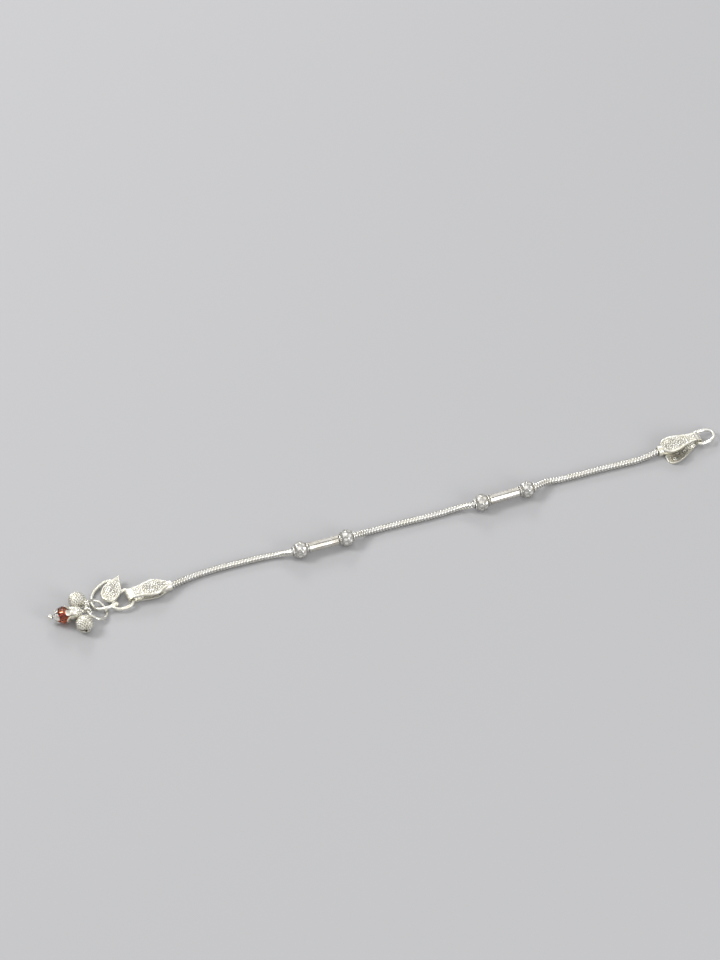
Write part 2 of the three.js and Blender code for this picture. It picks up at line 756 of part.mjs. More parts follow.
// The origin is the middle of the whole anklet's footprint, on the surface it lies on
const bounds = new THREE.Box3().setFromObject(group, true);
const middle = bounds.getCenter(new THREE.Vector3());
group.position.set(-middle.x, -middle.y, -bounds.min.z);

export default group;
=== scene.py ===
"""Looks of a payal anklet laid open on a pale surface, built round its CAD frame.

The pieces are worked out in the strand's own frame, in millimetres: +X runs along the strand,
+Z is up, and the surface is z = 0. to_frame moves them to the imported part's frame in metres.
"""

import math

import bmesh
import bpy
import numpy as np
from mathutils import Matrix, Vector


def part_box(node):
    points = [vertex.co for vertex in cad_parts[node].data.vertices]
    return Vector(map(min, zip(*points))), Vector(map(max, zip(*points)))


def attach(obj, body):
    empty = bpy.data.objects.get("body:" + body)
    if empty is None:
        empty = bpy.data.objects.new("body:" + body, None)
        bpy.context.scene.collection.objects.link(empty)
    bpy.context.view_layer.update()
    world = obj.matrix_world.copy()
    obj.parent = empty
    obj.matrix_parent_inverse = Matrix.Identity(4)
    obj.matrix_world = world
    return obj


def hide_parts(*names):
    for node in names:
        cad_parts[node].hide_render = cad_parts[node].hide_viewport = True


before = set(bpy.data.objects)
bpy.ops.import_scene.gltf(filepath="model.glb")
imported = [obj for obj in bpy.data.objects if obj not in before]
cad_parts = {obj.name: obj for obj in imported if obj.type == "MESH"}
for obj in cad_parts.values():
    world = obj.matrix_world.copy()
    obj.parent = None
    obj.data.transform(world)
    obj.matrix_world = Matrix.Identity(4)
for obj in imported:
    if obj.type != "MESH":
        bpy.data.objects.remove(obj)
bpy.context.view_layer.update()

bl_info = {
    "name": "Payal anklet",
    "version": (1, 0, 0),
    "blender": (4, 5, 0),
    "location": "View3D > Sidebar > Anklet",
    "description": "Builds the visible silver, bells and stone of an anklet laid open",
    "category": "Object",
}

MM = 0.001

# Sizes of the construction, in millimetres, and angles in degrees
FOLD_TO_FOLD = 240.0
CLEARANCE = 0.3
CHAIN_RADIUS = 1.3
CHAIN_INSERT = 3.2
BEAD_DIAMETER = 6.8
BEAD_LENGTH = 6.2
TUBE_RADIUS = 2.15
TUBE_LENGTH = 12.6
SHEET = 0.7
CAP_LENGTH = 15.2
CAP_WIDTH = 7.8
FERRULE_WALL = 0.5
FERRULE_LENGTH = 5.2
FERRULE_NECK = 1.5
HOOK_WIRE = 1.4
HOOK_LINK_LENGTH = 8.6
HOOK_LINK_WIDTH = 7.9
HOOK_ARC_LENGTH = 11.4
HOOK_ARC_WIDTH = 11.6
LEAF_LENGTH = 13.8
LEAF_WIDTH = 7.6
LEAF_THICKNESS = 0.9
FOLD_PLAY = 0.75
END_RING_WIRE = 1.4
END_RING_LENGTH = 9.2
END_RING_WIDTH = 7.8
JUMP_RING_WIRE = 1.2
JUMP_RING_DIAMETER = 10.6
JUMP_RING_TILT = 28
JUMP_RING_LOW_SIDE = -12
BELL_RADIUS = 3.4
BELL_WALL = 0.5
BELL_BAND = 0.3
BELL_SLIT = 0.8
BELL_LOOP_WIRE = 0.7
BELL_LOOP_PLAY = 0.45
STONE_RADIUS = 3.7
STONE_LENGTH = 6.0
STONE_TABLE = 1.8
PIN_RADIUS = 0.4
PIN_BALL_RADIUS = 1.2
PIN_EYE_PLAY = 0.35
COLLAR_RADIUS = 2.2
UPPER_CAP_REACH = 2.0
LOWER_CAP_REACH = 1.3
BEAD_CAP_WALL = 0.45

# Heights between which the stone turns pale: a painted reflection on its top
PAINTED_REFLECTION_FROM = 6.0
PAINTED_REFLECTION_TO = 8.2

BEAD_RADIUS = BEAD_DIAMETER / 2
BORE_RADIUS = CHAIN_RADIUS + CLEARANCE
STATION_SPACING = TUBE_LENGTH + BEAD_LENGTH + 2 * CLEARANCE
FOLD_GAP = HOOK_WIRE + 2 * FOLD_PLAY
FOLD_HEIGHT = FOLD_GAP / 2 + SHEET
MOUTH = CAP_LENGTH + FERRULE_NECK

# Places on the strand: along as a share of FOLD_TO_FOLD, aside as a share of BEAD_DIAMETER,
# and a heading in degrees
LEFT_CAP = (-0.5, -0.38, 1)
RIGHT_CAP = (0.5, 0.43, 185)
RIGHT_SPLAY = 20
STATIONS = ((-0.1642, -0.33, 0.3), (0.1548, -0.24, 2))

# Route of the chain where it lies free: along, aside, and lift from the surface (0) to the
# height of a bead's bore (1)
FREE_ROUTE = (
    (
        (-0.407, -0.13, 0.12), (-0.377, 0.04, 0), (-0.342, 0.10, 0),
        (-0.306, 0.10, 0), (-0.270, 0.07, 0), (-0.240, -0.04, 0.1),
    ),
    (
        (-0.087, -0.12, 0.22), (-0.064, -0.06, 0), (-0.018, -0.07, 0),
        (0.013, -0.09, 0), (0.044, -0.09, 0), (0.078, -0.07, 0.2),
    ),
    (
        (0.234, 0.14, 0.3), (0.256, 0.13, 0.02), (0.290, 0.12, 0),
        (0.327, 0.13, 0), (0.367, 0.09, 0), (0.400, 0.09, 0.05),
    ),
)

# Chain: place of a seam round it in degrees from the far side over the top, the ridges' swing
# from one seam to the next as a share of the pitch, the power that flattens their crests, the
# mesh's steps to a ridge and sides, half width, depth and shade of a seam, radius at the
# section's corners and how far its sides are flatter, and depth of the grooves on top
SEAM_TURN = 155
SLANT = 0.5
RIDGE_POWER = 0.4
STEPS_A_RIDGE = 12
CHAIN_SIDES = 36
SEAM_HALF, SEAM_DEPTH, SEAM_SHADE = 0.3, 0.5, 0.45
CORNER_SHARE, SIDE_FLATTENING = 1.05, 0.02
GROOVE_SHARE = 0.7

# Leaf outlines: along as a share of the leaf's length, half width as a share of its half width
POINTED_LEAF = (
    (0, 0.62), (0.16, 0.66), (0.34, 0.80), (0.50, 0.95), (0.62, 1),
    (0.74, 0.88), (0.84, 0.64), (0.92, 0.46), (1, 0.34),
)
ROUND_LEAF = (
    (0, 0.50), (0.18, 0.56), (0.36, 0.72), (0.54, 0.92), (0.70, 1),
    (0.82, 0.95), (0.91, 0.76), (0.97, 0.50), (1, 0.28),
)
HOOK_LEAF = (
    (0, 0.22), (0.05, 0.50), (0.14, 0.80), (0.27, 0.98), (0.42, 1),
    (0.58, 0.86), (0.74, 0.58), (0.88, 0.28), (1, 0.06),
)

# Hook wire: back and aside as shares of the link's or arc's length and width, and lift from
# the surface (0) to the fold's centre (1)
LINK_ROUTE = (
    (0, 0.27, 1), (0, -0.27, 1), (0.12, -0.50, 0.9), (0.42, -0.60, 0.7), (0.80, -0.56, 0.7),
    (1, -0.36, 0.9), (0.88, -0.06, 1), (0.60, 0.24, 1), (0.32, 0.46, 1), (0.09, 0.44, 1),
)
ARC_ROUTE = (
    (0.0, 0.80, 1), (0.24, 0.92, 0.7), (0.58, 0.82, 0.25), (0.86, 0.60, 0.06),
    (0.99, 0.34, 0.03), (1.03, 0.14, 0.03), (0.98, -0.04, 0.15), (0.82, -0.19, 0.75),
    (0.62, -0.25, 1.2), (0.41, -0.22, 1.15), (0.24, -0.18, 1),
)
LEAF_HEADING = 51
LEAF_BACK = 1.24
LEAF_CUP = 1.6
LEAF_ASIDE = -0.02

# Half of the oval ring from the fold, as shares of its half length and half width
OVAL_HALF = ((-1, 0.4), (-0.93, 0.82), (-0.62, 1), (-0.1, 1), (0.5, 0.86), (0.9, 0.48))

# Where the jump ring carries each drop, in degrees round the ring, and the drop's heading
BELL_SEATS = ((150, 124), (221, 219.5))
PIN_SEAT = (190, 170.5)

# The photograph's view of the surface: image size and the strand's origin in pixels
IMAGE_SIZE = (720, 960)
ORIGIN_PIXEL = (415, 521)
PIXELS_PER_MM = 2.5
VIEW_AZIMUTH = -18.6
VIEW_ELEVATION = 50
SENSOR = 36.0


# Plain vector helpers

def unit(vector):
    """The vector divided by its own length."""
    vector = np.asarray(vector, float)
    return vector / np.linalg.norm(vector, axis=-1, keepdims=True)


def heading(degrees):
    """Level unit vector at an angle from +X, turning towards +Y."""
    turn = math.radians(degrees)
    return np.array((math.cos(turn), math.sin(turn), 0.0))


def smooth(low, high, value):
    """Smooth step: 0 below low, 1 above high, and 3t squared minus 2t cubed between."""
    t = np.clip((value - low) / (high - low), 0, 1)
    return t * t * (3 - 2 * t)


def dome(distance, radius):
    """Height of a unit dome: the square root of one minus (distance / radius) squared."""
    return np.sqrt(np.clip(1 - (distance / radius) ** 2, 0, 1))


def strand_point(place, height):
    """A point on the strand from its along and aside shares and a height."""
    return np.array((place[0] * FOLD_TO_FOLD, place[1] * BEAD_DIAMETER, height))


def rise(lift, low, high):
    """Height at a share between low and high."""
    return low + lift * (high - low)


def placed(points, origin, direction):
    """Points made along +X, turned so that +X is direction and +Y stays level, and moved."""
    forward = unit(direction)
    side = unit((-forward[1], forward[0], 0.0))
    return origin + points @ np.array((forward, side, np.cross(forward, side)))


def station_centre(station):
    """Middle of a station's tube, at the height of its bore."""
    return strand_point(station, BEAD_RADIUS)


def bead_centres():
    """Centre and heading of each bead, from left to right."""
    for station in STATIONS:
        for side in (-1, 1):
            forward = heading(station[2])
            yield station_centre(station) + forward * side * STATION_SPACING / 2, forward


def box_middle(node):
    """Middle of a CAD node's box, in millimetres."""
    low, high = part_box(node)
    return (np.array(low) + np.array(high)) / 2 / MM


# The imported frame's place: the first bead's box is centred on its own centre
FRAME_SHIFT = box_middle("bead_1") - next(bead_centres())[0]


def to_frame(points):
    """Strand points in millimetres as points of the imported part's frame in metres."""
    return (points + FRAME_SHIFT) * MM


# Curves and surfaces

def catmull_rom(points, count, closed=False):
    """Centripetal Catmull-Rom curve through the points, sampled evenly along its length.

    Each span is a cubic whose end slopes come from its neighbours, weighted by the square
    roots of the distances between the points.
    """
    points = np.asarray(points, float)
    if closed:
        control = np.vstack((points[-1:], points, points[:2]))
    else:
        control = np.vstack((2 * points[0] - points[1], points, 2 * points[-1] - points[-2]))
    spans = np.linalg.norm(np.diff(control, axis=0), axis=1)[:, None] ** 0.5
    p0, p1, p2, p3 = control[:-3], control[1:-2], control[2:-1], control[3:]
    d0, d1, d2 = spans[:-2], spans[1:-1], spans[2:]
    start = d1 * ((p1 - p0) / d0 - (p2 - p0) / (d0 + d1) + (p2 - p1) / d1)
    end = d1 * ((p2 - p1) / d1 - (p3 - p1) / (d1 + d2) + (p3 - p2) / d2)
    t = np.linspace(0, 1, 48, endpoint=False)[:, None, None]
    fine = (
        (2 * t ** 3 - 3 * t ** 2 + 1) * p1 + (t ** 3 - 2 * t ** 2 + t) * start
        + (3 * t ** 2 - 2 * t ** 3) * p2 + (t ** 3 - t ** 2) * end
    )
    fine = np.vstack((fine.transpose(1, 0, 2).reshape(-1, points.shape[1]), p2[-1:]))
    length = np.concatenate(([0], np.cumsum(np.linalg.norm(np.diff(fine, axis=0), axis=1))))
    wanted = np.linspace(0, length[-1], count, endpoint=not closed)
    return np.stack([np.interp(wanted, length, fine[:, k]) for k in range(fine.shape[1])], axis=1)


def outline_width(outline, share):
    """Half width of a leaf at a share of its length, on a smooth curve through its rows."""
    curve = catmull_rom(np.array(outline, float), 400)
    return np.interp(share, curve[:, 0], curve[:, 1])


def carried(path, across, upward, closed=False):
    """Carries offsets along a path: each point is the path's plus across times its level side
    plus upward times the third axis. The offsets are arrays of rows along the path."""
    if closed:
        tangent = unit(np.roll(path, -1, axis=0) - np.roll(path, 1, axis=0))
    else:
        tangent = unit(np.gradient(path, axis=0))
    side = unit(np.cross((0.0, 0.0, 1.0), tangent))
    up = np.cross(tangent, side)
    return path[:, None] + across[..., None] * side[:, None] + upward[..., None] * up[:, None]


def surface(points, painted_shade=None, wrap_rows=False, wrap_columns=False, ends=False):
    """A grid of points as a surface: quads between neighbours, closed round the rows or the
    columns where asked, with flat ends. The mask of painted shade is 1 in a hollow and 0 on a ridge."""
    rows, columns = points.shape[:2]
    index = np.arange(rows * columns).reshape(rows, columns)
    rim = index
    if wrap_rows:
        index = np.vstack((index, index[:1]))
    if wrap_columns:
        index = np.hstack((index, index[:, :1]))
    corners = (index[:-1, :-1], index[1:, :-1], index[1:, 1:], index[:-1, 1:])
    quads = np.stack(corners, axis=-1).reshape(-1, 4)
    flat = [rim[0].tolist(), rim[-1][::-1].tolist()] if ends else []
    hollow = np.zeros(rows * columns) if painted_shade is None else np.broadcast_to(painted_shade, (rows, columns)).ravel()
    vertices = points.reshape(-1, 3)
    a, b, c, d = (vertices[quads[:, k]] for k in range(4))
    volume = np.sum(a * (np.cross(b, c) + np.cross(c, d)))
    volume += sum(np.sum(vertices[f[0]] * np.cross(vertices[f[1:-1]], vertices[f[2:]])) for f in flat)
    if volume < 0:
        quads = quads[:, ::-1]
        flat = [face[::-1] for face in flat]
    return {"points": vertices, "quads": quads, "flat": flat, "painted_shade": hollow}


def moved(parts, origin, direction):
    """Surfaces placed in the strand's frame."""
    return [{**part, "points": placed(part["points"], origin, direction)} for part in parts]


def wire(path, radius, sides=20, closed=False):
    """Round wire along a path: a circle of the given radius carried along it."""
    turn = np.arange(sides) / sides * 2 * np.pi
    across = np.broadcast_to(radius * np.cos(turn), (len(path), sides))
    upward = np.broadcast_to(radius * np.sin(turn), (len(path), sides))
    points = carried(path, across, upward, closed)
    return surface(points, wrap_rows=closed, wrap_columns=True, ends=not closed)


def torus(radius, thickness, around=64, sides=20):
    """Ring in the XY plane: a circle of half the thickness, its centre on a circle."""
    u = np.arange(around)[:, None] / around * 2 * np.pi
    v = np.arange(sides)[None] / sides * 2 * np.pi
    reach = radius + thickness / 2 * np.cos(v)
    upward = thickness / 2 * np.sin(v)
    points = np.stack(np.broadcast_arrays(reach * np.cos(u), reach * np.sin(u), upward), axis=-1)
    return surface(points, wrap_rows=True, wrap_columns=True)


def standing(ring, along=0.0):
    """A level ring stood on edge, its centre moved along +X."""
    return {**ring, "points": ring["points"][:, (0, 2, 1)] * (1, -1, 1) + (along, 0, 0)}


def revolved(along, radius, turn):
    """Points round +X: the place along, and the radius times the turn's cosine and sine."""
    return np.stack(np.broadcast_arrays(along, radius * np.cos(turn), radius * np.sin(turn)), axis=-1)


def turned(profile, sides=64, closed=True):
    """Body turned round +X from rows of (along, radius)."""
    profile = np.asarray(profile, float)[..., None]
    turn = np.arange(sides) / sides * 2 * np.pi
    return surface(revolved(profile[:, 0], profile[:, 1], turn), wrap_rows=closed, wrap_columns=True)


def drilled(along, radius, painted_shade, turn, bore, rows):
    """Body round +X whose last row is joined to its first by rows of a bore."""
    shape = (rows, turn.shape[1])
    back = np.broadcast_to(np.linspace(along[-1, 0], along[0, 0], rows)[:, None], shape)
    along = np.vstack((np.broadcast_to(along, radius.shape), back))
    radius = np.vstack((radius, np.full(shape, bore)))
    # painted shade fills the bore
    painted_shade = np.vstack((painted_shade, np.ones(shape)))
    return surface(revolved(along, radius, turn), painted_shade, wrap_rows=True, wrap_columns=True)


def ball(centre, radius, sides=28):
    """Sphere from its poles on X: radius times the cosine and sine of the polar angle."""
    polar = np.linspace(0, np.pi, sides // 2 + 1)
    profile = np.stack((centre + radius * np.cos(polar), radius * np.sin(polar)), axis=1)
    return turned(profile, sides, closed=False)


def rounded_pipe(start, end, inner, outer, edge, sides=64):
    """Pipe along +X whose outer edges are rounded to a quarter circle of radius edge."""
    turn = np.linspace(0, np.pi / 2, 6)
    inward, height = edge * (1 - np.sin(turn)), outer - edge * (1 - np.cos(turn))
    left = np.stack((start + inward, height), axis=1)[::-1]
    right = np.stack((end - inward, height), axis=1)
    return turned(np.vstack(((start, inner), left, right, (end, inner))), sides)


def window(start, full, fade, end, x):
    """1 from full to fade, falling smoothly to 0 at start and at end."""
    return smooth(start, full, x) * (1 - smooth(fade, end, x))


def granules(u, v, pitch, radius):
    """Staggered field of domes: 1 at the middle of each and 0 beyond its radius."""
    row_pitch = pitch * math.sqrt(3) / 2
    row = np.round(v / row_pitch)
    shifted = u - (row % 2) * pitch / 2
    offset = shifted - np.round(shifted / pitch) * pitch
    return dome(np.hypot(offset, v - row * row_pitch), radius)


def spiral(u, v, pitch, turns, width):
    """Ridge along a spiral whose radius grows by pitch a turn: a dome across the wire."""
    reach = np.hypot(u, v)
    phase = reach / pitch - np.arctan2(v, u) / (2 * np.pi)
    off = np.abs(phase - np.round(phase)) * pitch
    return dome(off, width / 2) * (1 - smooth(turns * pitch - width, turns * pitch, reach))


# Objects

WELD = 0.0005      # points nearer than this, in millimetres, are one


def make_piece(name, parts, material, nodes, sharp=None):
    """Joins surfaces into one mesh object, merges their poles, and seats it in the frame."""
    points = np.vstack([to_frame(part["points"]) for part in parts])
    starts = np.cumsum([0] + [len(part["points"]) for part in parts[:-1]])
    faces = []
    for start, part in zip(starts, parts):
        faces += (part["quads"] + start).tolist()
        faces += [[int(corner + start) for corner in face] for face in part["flat"]]
    mesh = bpy.data.meshes.new(name)
    mesh.from_pydata(points.tolist(), [], faces)
    # the mask of painted shade is kept as a point attribute for the silver
    layer = mesh.attributes.new("painted_shade", "FLOAT", "POINT")
    layer.data.foreach_set("value", np.concatenate([part["painted_shade"] for part in parts]).astype(np.float32))
    merge_poles(mesh)
    mesh.shade_smooth()
    if sharp is not None:
        mesh.set_sharp_from_angle(angle=math.radians(sharp))
    mesh.materials.append(material)
    piece = bpy.data.objects.new(name, mesh)
    bpy.context.scene.collection.objects.link(piece)
    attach(piece, "root")
    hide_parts(*nodes)
    return piece


def merge_poles(mesh):
    """Merges the points that coincide at poles and drops the faces that this closes."""
    work = bmesh.new()
    work.from_mesh(mesh)
    bmesh.ops.remove_doubles(work, verts=work.verts, dist=WELD * MM)
    work.to_mesh(mesh)
    work.free()
    mesh.validate()


# Materials

def set_inputs(tree, node, inputs):
    """Gives each input of the node its value, or links it to the output that it is given."""
    for key, value in inputs.items():
        if isinstance(value, bpy.types.NodeSocket):
            tree.links.new(value, node.inputs[key])
        else:
            node.inputs[key].default_value = value


def add_node(tree, kind, inputs=None, **values):
    """A node with its properties and its inputs set."""
    node = tree.nodes.new(kind)
    for key, value in values.items():
        setattr(node, key, value)
    set_inputs(tree, node, inputs or {})
    return node


def silver_group():
    """Node group of silver: tone darkened by painted shade and roughness raised where the mesh's shade mask
    is high, patches of warmer metal, and a fine grain whose height feeds a bump."""
    name = "silver_surface"
    if name in bpy.data.node_groups:
        return bpy.data.node_groups[name]
    tree = bpy.data.node_groups.new(name, "ShaderNodeTree")
    for label, kind, value in (
        ("Ridge Tone", "NodeSocketColor", (0.95, 0.94, 0.91, 1)),
        ("Warm Tone", "NodeSocketColor", (0.93, 0.90, 0.80, 1)),
        # the near-black tone below is painted shade for hollows and for faces under or inside parts
        ("Painted Shade Tone", "NodeSocketColor", (0.16, 0.145, 0.13, 1)),
        ("Painted Shade Depth", "NodeSocketFloat", 0.6),
        ("Smoothest", "NodeSocketFloat", 0.14),
        ("Roughest", "NodeSocketFloat", 0.3),
        ("Grain Scale", "NodeSocketFloat", 2500.0),
    ):
        socket = tree.interface.new_socket(label, in_out="INPUT", socket_type=kind)
        socket.default_value = value
    for label, kind in (("Color", "Color"), ("Roughness", "Float"), ("Height", "Float")):
        tree.interface.new_socket(label, in_out="OUTPUT", socket_type="NodeSocket" + kind)
    given = add_node(tree, "NodeGroupInput").outputs
    place = add_node(tree, "ShaderNodeTexCoord").outputs["Object"]
    painted_shade = add_node(tree, "ShaderNodeAttribute", attribute_name="painted_shade").outputs["Fac"]

    patches = add_node(tree, "ShaderNodeTexNoise", {"Vector": place, "Scale": 260, "Detail": 3})
    warm = add_node(tree, "ShaderNodeMapRange", {
        "Value": patches.outputs["Fac"], "From Min": 0.42, "From Max": 0.62,
    })
    tone = add_node(tree, "ShaderNodeMix", {
        "Factor": warm.outputs["Result"], "A": given["Ridge Tone"], "B": given["Warm Tone"],
    }, data_type="RGBA")
    # painted shade: the mask times its depth mixes the tone towards the near-black tone
    hollow = add_node(tree, "ShaderNodeMath", {0: painted_shade, 1: given["Painted Shade Depth"]}, operation="MULTIPLY")
    shaded = add_node(tree, "ShaderNodeMix", {
        "Factor": hollow.outputs["Value"], "A": tone.outputs["Result"], "B": given["Painted Shade Tone"],
    }, data_type="RGBA")

    grain = add_node(tree, "ShaderNodeTexNoise", {
        "Vector": place, "Scale": given["Grain Scale"], "Detail": 4,
    })
    rough = add_node(tree, "ShaderNodeMapRange", {
        "Value": grain.outputs["Fac"], "From Min": 0.3, "From Max": 0.7,
        "To Min": given["Smoothest"], "To Max": given["Roughest"],
    })
    # the painted shade mask also raises the roughness
    dull = add_node(tree, "ShaderNodeMath", {0: painted_shade, 1: 0.15, 2: rough.outputs["Result"]},
                    operation="MULTIPLY_ADD", use_clamp=True)
    add_node(tree, "NodeGroupOutput", {
        "Color": shaded.outputs["Result"], "Roughness": dull.outputs["Value"], "Height": grain.outputs["Fac"],
    })
    return tree


# Silvers: setting of the tone, warmer tone, how far painted shade darkens the hollows, least and most
# roughness, grains a metre, and bump in millimetres. The polished one is for the chain, beads and rings,
# the brushed one for the tubes, and the cast one for the leaves, bells and upper flower cap.
SILVERS = {
    "polished_silver": ("silver_tone", (0.90, 0.88, 0.79), 0.82, 0.14, 0.28, 1800, 0.03),
    "brushed_silver": ("drawn_tone", (0.64, 0.61, 0.54), 0.85, 0.2, 0.34, 1400, 0.03),
    "cast_silver": ("cast_tone", (0.85, 0.82, 0.70), 0.75, 0.24, 0.48, 3400, 0.1),
}


def silver(name):
    """One of the silvers: the group gives its colour, its roughness and the bump's height."""
    if name in bpy.data.materials:
        return bpy.data.materials[name]
    setting, warm, depth, smoothest, roughest, grains, bump_height = SILVERS[name]
    ridge = getattr(bpy.context.scene.anklet_finish, setting)
    material = bpy.data.materials.new(name)
    material.use_nodes = True
    tree = material.node_tree
    group = add_node(tree, "ShaderNodeGroup", node_tree=silver_group())
    # depth is how far the painted shade darkens the silver
    set_inputs(tree, group, {
        "Ridge Tone": (*ridge, 1), "Warm Tone": (*warm, 1), "Painted Shade Depth": depth,
        "Smoothest": smoothest, "Roughest": roughest, "Grain Scale": grains,
    })
    bump = add_node(tree, "ShaderNodeBump", {"Height": group.outputs["Height"], "Distance": bump_height * MM})
    set_inputs(tree, tree.nodes["Principled BSDF"], {
        "Metallic": 1.0, "Base Color": group.outputs["Color"], "Roughness": group.outputs["Roughness"],
        "Normal": bump.outputs["Normal"],
    })
    return material


def red_stone():
    """Cut red glass, deep red to orange in clouds, with a pale painted reflection towards its top."""
    looks = bpy.context.scene.anklet_finish
    material = bpy.data.materials.new("cut_red_glass")
    material.use_nodes = True
    tree = material.node_tree
    place = add_node(tree, "ShaderNodeTexCoord").outputs["Object"]
    clouds = add_node(tree, "ShaderNodeTexNoise", {"Vector": place, "Scale": 420, "Detail": 2})
    tone = add_node(tree, "ShaderNodeMix", {
        "Factor": clouds.outputs["Fac"], "A": (*looks.stone_deep, 1), "B": (*looks.stone_light, 1),
    }, data_type="RGBA")
    split = add_node(tree, "ShaderNodeSeparateXYZ", {"Vector": place})
    # painted reflection: the stone is mixed towards a pale tone over its top heights
    lift = add_node(tree, "ShaderNodeMapRange", {
        "Value": split.outputs["Z"], "From Min": PAINTED_REFLECTION_FROM * MM, "From Max": PAINTED_REFLECTION_TO * MM,
    })
    pale = add_node(tree, "ShaderNodeMix", {
        "Factor": lift.outputs["Result"], "A": tone.outputs["Result"], "B": (*looks.stone_painted_reflection, 1),
    }, data_type="RGBA")
    set_inputs(tree, tree.nodes["Principled BSDF"], {
        "Transmission Weight": 1.0, "IOR": 1.6, "Roughness": 0.03, "Base Color": pale.outputs["Result"],
    })
    return material


# Settings that a user would change

def length(name, description, value):
    """A length property in metres from a default in millimetres."""
    return bpy.props.FloatProperty(name=name, description=description, default=value * MM, unit="LENGTH",
                                   precision=5)


def colour(name, description, value):
    """A colour property."""
    return bpy.props.FloatVectorProperty(name=name, description=description, default=value,
                                         subtype="COLOR", min=0, max=1)


class AnkletFinish(bpy.types.PropertyGroup):
    """Colours of the metal and the stone."""

    silver_tone: colour("Silver", "Colour of the polished silver", (0.94, 0.93, 0.88))
    cast_tone: colour("Cast silver", "Colour of the frosted castings", (0.89, 0.875, 0.80))
    drawn_tone: colour("Drawn silver", "Colour of the tubes", (0.70, 0.685, 0.64))
    stone_deep: colour("Stone depth", "Colour of the stone's dark clouds", (0.17, 0.003, 0.002))
    stone_light: colour("Stone light", "Colour of the stone's bright clouds", (1.0, 0.21, 0.05))
    # colour of the painted reflection on the stone's top
    stone_painted_reflection: colour("Stone top", "Colour of the stone towards its top", (0.95, 0.66, 0.58))


class AnkletStrand(bpy.types.PropertyGroup):
    """Sizes and counts of the cuts on the chain, the beads and the tubes."""

    ridge_pitch: length("Ridge pitch", "Distance between the chain's ridges", 1.24)
    ridge_depth: length("Ridge depth", "Depth of the grooves between the ridges", 0.27)
    window_dish: length("Window dish", "How far a bead's cut window is dished", 0.1)
    windows: bpy.props.IntProperty(name="Windows", description="Cut windows in each row round a bead",
                                   default=10, min=4)
    flutes: bpy.props.IntProperty(name="Flutes", description="Flats round a tube", default=8, min=5)


class AnkletCasting(bpy.types.PropertyGroup):
    """Sizes of the relief on the leaves."""

    relief: length("Relief", "Height of the rims and scrolls over the leaf", 0.34)
    granule_pitch: length("Granule pitch", "Distance between the leaves' granules", 1.05)
    scroll_pitch: length("Scroll pitch", "Distance between the turns of a scroll", 0.85)


class AnkletStage(bpy.types.PropertyGroup):
    """Camera distance, light and floor."""

    distance: length("Camera distance", "Distance from the camera to the anklet", 6000)
    key_power: bpy.props.FloatProperty(name="Key light", description="Power of the main light", default=7,
                                       unit="POWER")
    floor_tone: colour("Floor", "Colour of the surface", (0.44, 0.44, 0.45))


# The stage

FLOOR_HALF = 3.0
# Area lights: name, place and size in metres, and power as a share of the key light's
LIGHTS = (
    ("key", (-0.85, 0.45, 0.9), 0.4, 1.0),
    ("strip", (0.15, 1.0, 0.55), 0.3, 0.45),
    ("fill", (0.5, -0.9, 0.5), 0.5, 0.6),
)
# The world's light: its colour at the horizon and below, then its grey at heights up to 1
SKY_LOW = (0.14, 0.14, 0.15)
SKY = ((0.12, 0.3), (0.4, 0.5), (0.7, 0.85))


